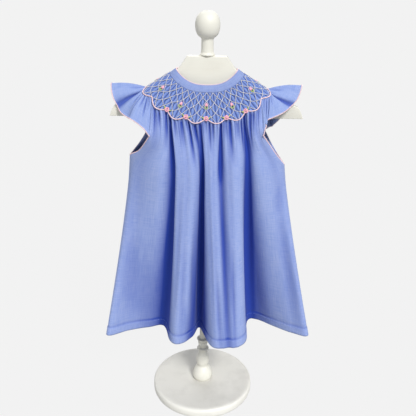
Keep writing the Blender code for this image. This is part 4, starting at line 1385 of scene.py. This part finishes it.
def stitched_lines(name, lines, values, material):
    """Lays stitches along lines, each a pair of points and outward directions, and joins them in one mesh."""
    points = np.concatenate([line for line, _ in lines])
    outward = np.concatenate([normals for _, normals in lines])
    edges = []
    first = 0
    for line, _ in lines:
        edges += [(first + step, first + step + 1) for step in range(len(line) - 1)]
        first += len(line)
    mesh = bpy.data.meshes.new(name)
    mesh.from_pydata(points.tolist(), edges, [])
    attribute = mesh.attributes.new("outward", "FLOAT_VECTOR", "POINT")
    attribute.data.foreach_set("vector", outward.astype(np.float32).ravel())
    obj = bpy.data.objects.new(name, mesh)
    scene.collection.objects.link(obj)
    modifier = obj.modifiers.new("stitches", "NODES")
    modifier.node_group = STITCHES
    for item in STITCHES.interface.items_tree:
        if item.in_out == "INPUT" and item.name in values:
            modifier[item.identifier] = values[item.name]
        if item.in_out == "INPUT" and item.name == "Thread":
            modifier[item.identifier] = material
    bpy.context.view_layer.update()
    made = bpy.data.meshes.new_from_object(obj.evaluated_get(bpy.context.evaluated_depsgraph_get()))
    bpy.data.objects.remove(obj)
    made.name = name
    return add_piece(name, made, material)


def twisted_strands():
    """Colour and relief of stranded thread: fine slanting strands with a soft sheen."""
    tree, given, result = node_group(
        "twisted_strands",
        [
            ("Place", "NodeSocketVector", None),
            ("Thread", "NodeSocketColor", (0.8, 0.78, 0.7, 1.0)),
            ("Shade", "NodeSocketColor", (0.5, 0.46, 0.4, 1.0)),
        ],
        [("Colour", "NodeSocketColor"), ("Height", "NodeSocketFloat")],
    )
    strands = noise_node(tree, given.outputs["Place"], 2600, (1, 1, 2.2), 2.0)
    dye = noise_node(tree, given.outputs["Place"], 240, (1, 1, 1), 2.0)
    share = math_node(tree, "MULTIPLY", math_node(tree, "ADD", strands, dye), 0.36)
    tree.links.new(mix_colours(tree, share, given.outputs["Thread"], given.outputs["Shade"]), result.inputs["Colour"])
    tree.links.new(strands, result.inputs["Height"])
    return tree


STRAND_EFFECT = twisted_strands()


def stranded_cotton(name, colour, shade):
    material, nodes, links, shader = new_material(name, 0.5)
    place = nodes.new("ShaderNodeTexCoord")
    effect = nodes.new("ShaderNodeGroup")
    effect.node_tree = STRAND_EFFECT
    effect.inputs["Thread"].default_value = (*colour, 1.0)
    effect.inputs["Shade"].default_value = (*shade, 1.0)
    bump = nodes.new("ShaderNodeBump")
    bump.inputs["Strength"].default_value = 0.5
    bump.inputs["Distance"].default_value = 0.0002
    links.new(place.outputs["Object"], effect.inputs["Place"])
    links.new(effect.outputs["Colour"], shader.inputs["Base Color"])
    links.new(effect.outputs["Height"], bump.inputs["Height"])
    links.new(bump.outputs["Normal"], shader.inputs["Normal"])
    shader.inputs["Sheen Weight"].default_value = 0.3
    return material


ivory_thread = stranded_cotton("ivory_thread", (0.82, 0.79, 0.75), (0.64, 0.61, 0.59))


def smocked_line(columns, rows, lift):
    """A line over the crests of the pleats, given in columns and half rows, and its outward directions."""
    down = np.asarray(rows, float) / HALF_ROWS * foot_of_yoke(columns)
    normals = yoke_normal(columns, down)
    return yoke_base(columns, down) + normals * (CLOTH + PLEAT_HEIGHT * 0.92 + lift), normals


def lattice():
    lines = []
    rows = np.linspace(0.15, HALF_ROWS - 0.25, 34)
    for diamond in range(DIAMONDS):
        for lean in (-1, 1):
            columns = (diamond + lean * rows / 2) * RING_COLUMNS / DIAMONDS
            columns = (columns + HALF) % RING_COLUMNS - HALF
            clear = np.abs(np.abs(columns) - HALF) > 3.2
            runs = np.split(np.arange(len(rows)), np.flatnonzero(~clear))
            for run in runs:
                run = run[clear[run]]
                if len(run) > 2 and np.ptp(columns[run]) < HALF:
                    lines.append(smocked_line(columns[run], rows[run], THREAD_LIFT))
    values = {"Spacing": 0.00195, "Length": 0.0026, "Width": 0.00074, "Height": 0.00070, "Slant": 0.20}
    return stitched_lines("smocking_lattice", lines, values, ivory_thread)


lattice()

# Scallop cable and neck edging: pale pink stranded cotton. One rope of cable stitch follows the
# scalloped foot of the smocking, and a fine row of it runs along the top of the neck band.
pink_thread = stranded_cotton("pink_thread", (0.92, 0.71, 0.72), (0.84, 0.55, 0.58))


def scallop_cable():
    lines = []
    for first, last in ((-HALF + 3, HALF - 3),):
        columns = np.linspace(first, last, 900)
        down = foot_of_yoke(columns) + 0.004
        normals = yoke_normal(columns, down)
        lines.append((yoke_base(columns, down) + normals * (CLOTH + PLEAT_HEIGHT * 0.95 + THREAD_LIFT), normals))
    values = {"Spacing": 0.00145, "Length": 0.0026, "Width": 0.0016, "Height": 0.0014, "Slant": 0.40}
    return stitched_lines("scallop_cable", lines, values, pink_thread)


scallop_cable()
neck_line, neck_out = band_section(-0.04, BAND_CLOTH * 0.55)
stitched_lines(
    "neck_edging",
    [(neck_line, neck_out)],
    {"Spacing": 0.0015, "Length": 0.0014, "Width": 0.0018, "Height": 0.0014, "Slant": 0.25},
    pink_thread,
)

# Sleeve and armhole edging: a fine pink shell edge, a row of small loops of thread whipped over the
# narrow hem of the sleeves and round the armholes.
PICOT = {"Spacing": 0.0016, "Length": 0.0015, "Width": 0.0022, "Height": 0.0014, "Slant": 0.25}


def edging():
    for side in ("left", "right"):
        outer, normals = sleeve_edges[side]
        line = outer[-1] - normals[-1] * 0.0004
        away = unit(outer[-1] - outer[-2])
        stitched_lines(
            f"sleeve_edging_{side}", [(line + away * 0.0004, normals[-1])], PICOT, pink_thread
        )
        front_column = 0 if side == "left" else -1
        back_column = -1 if side == "left" else 0
        lines = []
        seam_row = bust_row // 2
        for outer_grid, normal_grid, column in (
            (front_outer, front_normals, front_column),
            (back_outer, back_normals, back_column),
        ):
            rows = slice(seam_row, bust_row)
            lines.append((outer_grid[rows, column] - normal_grid[rows, column] * 0.0003, normal_grid[rows, column]))
        stitched_lines(f"armhole_edging_{side}", lines, PICOT, pink_thread)


edging()

# Machine stitching: the hem is held by a row of small blue stitches, and so are the neck band's foot
# and the placket's edges. The thread is a little paler than the cloth.
blue_thread = stranded_cotton("blue_thread", (0.24, 0.33, 0.66), (0.17, 0.25, 0.55))
MACHINE_STITCH = {"Spacing": 0.0026, "Length": 0.0019, "Width": 0.00042, "Height": 0.00036, "Slant": 0.0}


def machine_stitching():
    lines = []
    for outer, normals in ((front_outer, front_normals), (back_outer, back_normals)):
        lines.append((outer[-6] + normals[-6] * 0.0001, normals[-6]))
    stitched_lines("hem_stitching", lines, MACHINE_STITCH, blue_thread)
    lines = []
    for share in (0.86, 0.70):
        line, out = band_section(share, BAND_CLOTH)
        lines.append((line, out))
    stitched_lines("band_stitching", lines, MACHINE_STITCH, blue_thread)
    lines = [(placket_outer[:, column] + placket_normals[:, column] * 0.0001, placket_normals[:, column]) for column in (1, 7)]
    stitched_lines("placket_stitching", lines, MACHINE_STITCH, blue_thread)


machine_stitching()

# Button thread: two crossed loops of ivory thread through the four holes of each button.
def button_thread():
    lines = []
    for centre, side, up, out in button_places:
        for lean in (-1, 1):
            reach = (side + up * lean) * 0.0010
            points = np.array([centre - reach, centre, centre + reach]) + out * 0.0008
            lines.append((points, np.repeat(out[None, :], 3, axis=0)))
    values = {"Spacing": 0.0010, "Length": 0.0016, "Width": 0.0004, "Height": 0.0004, "Slant": 0.0}
    return stitched_lines("button_thread", lines, values, ivory_thread)


button_thread()

# Rosebuds: bullion knots in pink thread with short green leaves. Full roses sit where the scallops
# meet, and single buds hang in the lattice above them.
rose_thread = stranded_cotton("rose_thread", (0.96, 0.53, 0.62), (0.88, 0.36, 0.47))
leaf_thread = stranded_cotton("leaf_thread", (0.50, 0.62, 0.22), (0.34, 0.46, 0.14))
ROSE_COLUMNS = (-24, -12, 0, 12, 24)
BUD_COLUMNS = tuple(range(-90, 91, 18))
FLOWER_SIZE = 1.35


def tube(points, radii, sides=7):
    """Vertices and faces of a closed tube with rounded ends, through points with a radius at each."""
    points = np.asarray(points, float)
    along = unit(np.gradient(points, axis=0))
    helper = np.array([0.31, 0.22, 0.93])
    first = unit(np.cross(along, helper))
    second = np.cross(along, first)
    angles = np.linspace(0, 2 * math.pi, sides, endpoint=False)
    ring = first[:, None] * np.cos(angles)[None, :, None] + second[:, None] * np.sin(angles)[None, :, None]
    verts = points[:, None] + ring * np.asarray(radii)[:, None, None]
    index = np.arange(len(points) * sides).reshape(len(points), sides)
    turned = np.roll(index, -1, axis=1)
    faces = np.stack([index[:-1], turned[:-1], turned[1:], index[1:]], axis=-1).reshape(-1, 4).tolist()
    faces += [index[0].tolist()[::-1], index[-1].tolist()]
    return verts.reshape(-1, 3), faces


def bullion(start, middle, end, thickness):
    """A wrapped knot: a short fat curved tube, ribbed by its wraps."""
    t = np.linspace(0, 1, 13)[:, None]
    line = (1 - t) ** 2 * start + 2 * t * (1 - t) * middle + t**2 * end
    ends = np.sin(math.pi * np.clip(t[:, 0], 0.04, 0.96)) ** 0.35
    ribs = 1 + 0.10 * np.cos(np.arange(13) * math.pi)
    return tube(line, thickness * FLOWER_SIZE * ends * ribs)


def joined(name, shapes, material):
    verts = []
    faces = []
    for points, sides in shapes:
        first = len(verts)
        verts += points.tolist()
        faces += [[first + corner for corner in face] for face in sides]
    mesh = bpy.data.meshes.new(name)
    mesh.from_pydata(verts, [], faces)
    made = bmesh.new()
    made.from_mesh(mesh)
    bmesh.ops.recalc_face_normals(made, faces=made.faces)
    made.to_mesh(mesh)
    made.free()
    return add_piece(name, mesh, material)


def flower_frame(column, row, lift):
    leaned, down = smocked_place(np.array([float(column)]), np.array([float(row)]))
    out = yoke_normal(leaned, down)[0]
    centre = yoke_base(leaned, down)[0] + out * (CLOTH + PLEAT_HEIGHT + lift)
    above = yoke_base(leaned, down - 0.05)[0] - yoke_base(leaned, down)[0]
    up = unit(above - out * np.dot(above, out))
    side = np.cross(up, out)
    return centre, side * FLOWER_SIZE, up * FLOWER_SIZE, out * FLOWER_SIZE


def flowers():
    pink, green = [], []
    for column in ROSE_COLUMNS:
        centre, side, up, out = flower_frame(column, HALF_ROWS, 0.0007)
        for petal in range(5):
            angle = 2 * math.pi * petal / 5 + 0.4
            here = centre + (side * math.cos(angle) + up * math.sin(angle)) * 0.0016
            there_angle = angle + 1.7
            there = centre + (side * math.cos(there_angle) + up * math.sin(there_angle)) * 0.0014
            bow = angle + 0.85
            middle = centre + (side * math.cos(bow) + up * math.sin(bow)) * 0.0029 + out * 0.0004
            pink.append(bullion(here, middle, there, 0.00075))
        pink.append(bullion(centre - side * 0.0008, centre + out * 0.0022, centre + side * 0.0008, 0.0009))
        for sign in (-1, 1):
            base = centre + side * sign * 0.0020 - up * 0.0006
            tip = centre + side * sign * 0.0042 + up * 0.0016
            green.append(bullion(base, (base + tip) / 2 + up * 0.0006 + out * 0.0003, tip, 0.00065))
    for column in BUD_COLUMNS:
        centre, side, up, out = flower_frame(column, HALF_ROWS / 2, 0.0006)
        top = centre + up * 0.0026
        pink.append(bullion(centre - up * 0.0008 - side * 0.0004, centre - side * 0.0012, top, 0.0008))
        pink.append(bullion(centre - up * 0.0008 + side * 0.0004, centre + side * 0.0012, top, 0.0008))
        for sign in (-1, 1):
            base = centre - up * 0.0034
            tip = centre - up * 0.0006 + side * sign * 0.0016
            green.append(bullion(base, (base + tip) / 2 + side * sign * 0.0008, tip, 0.0006))
    joined("rosebuds", pink, rose_thread)
    joined("leaves", green, leaf_thread)


flowers()
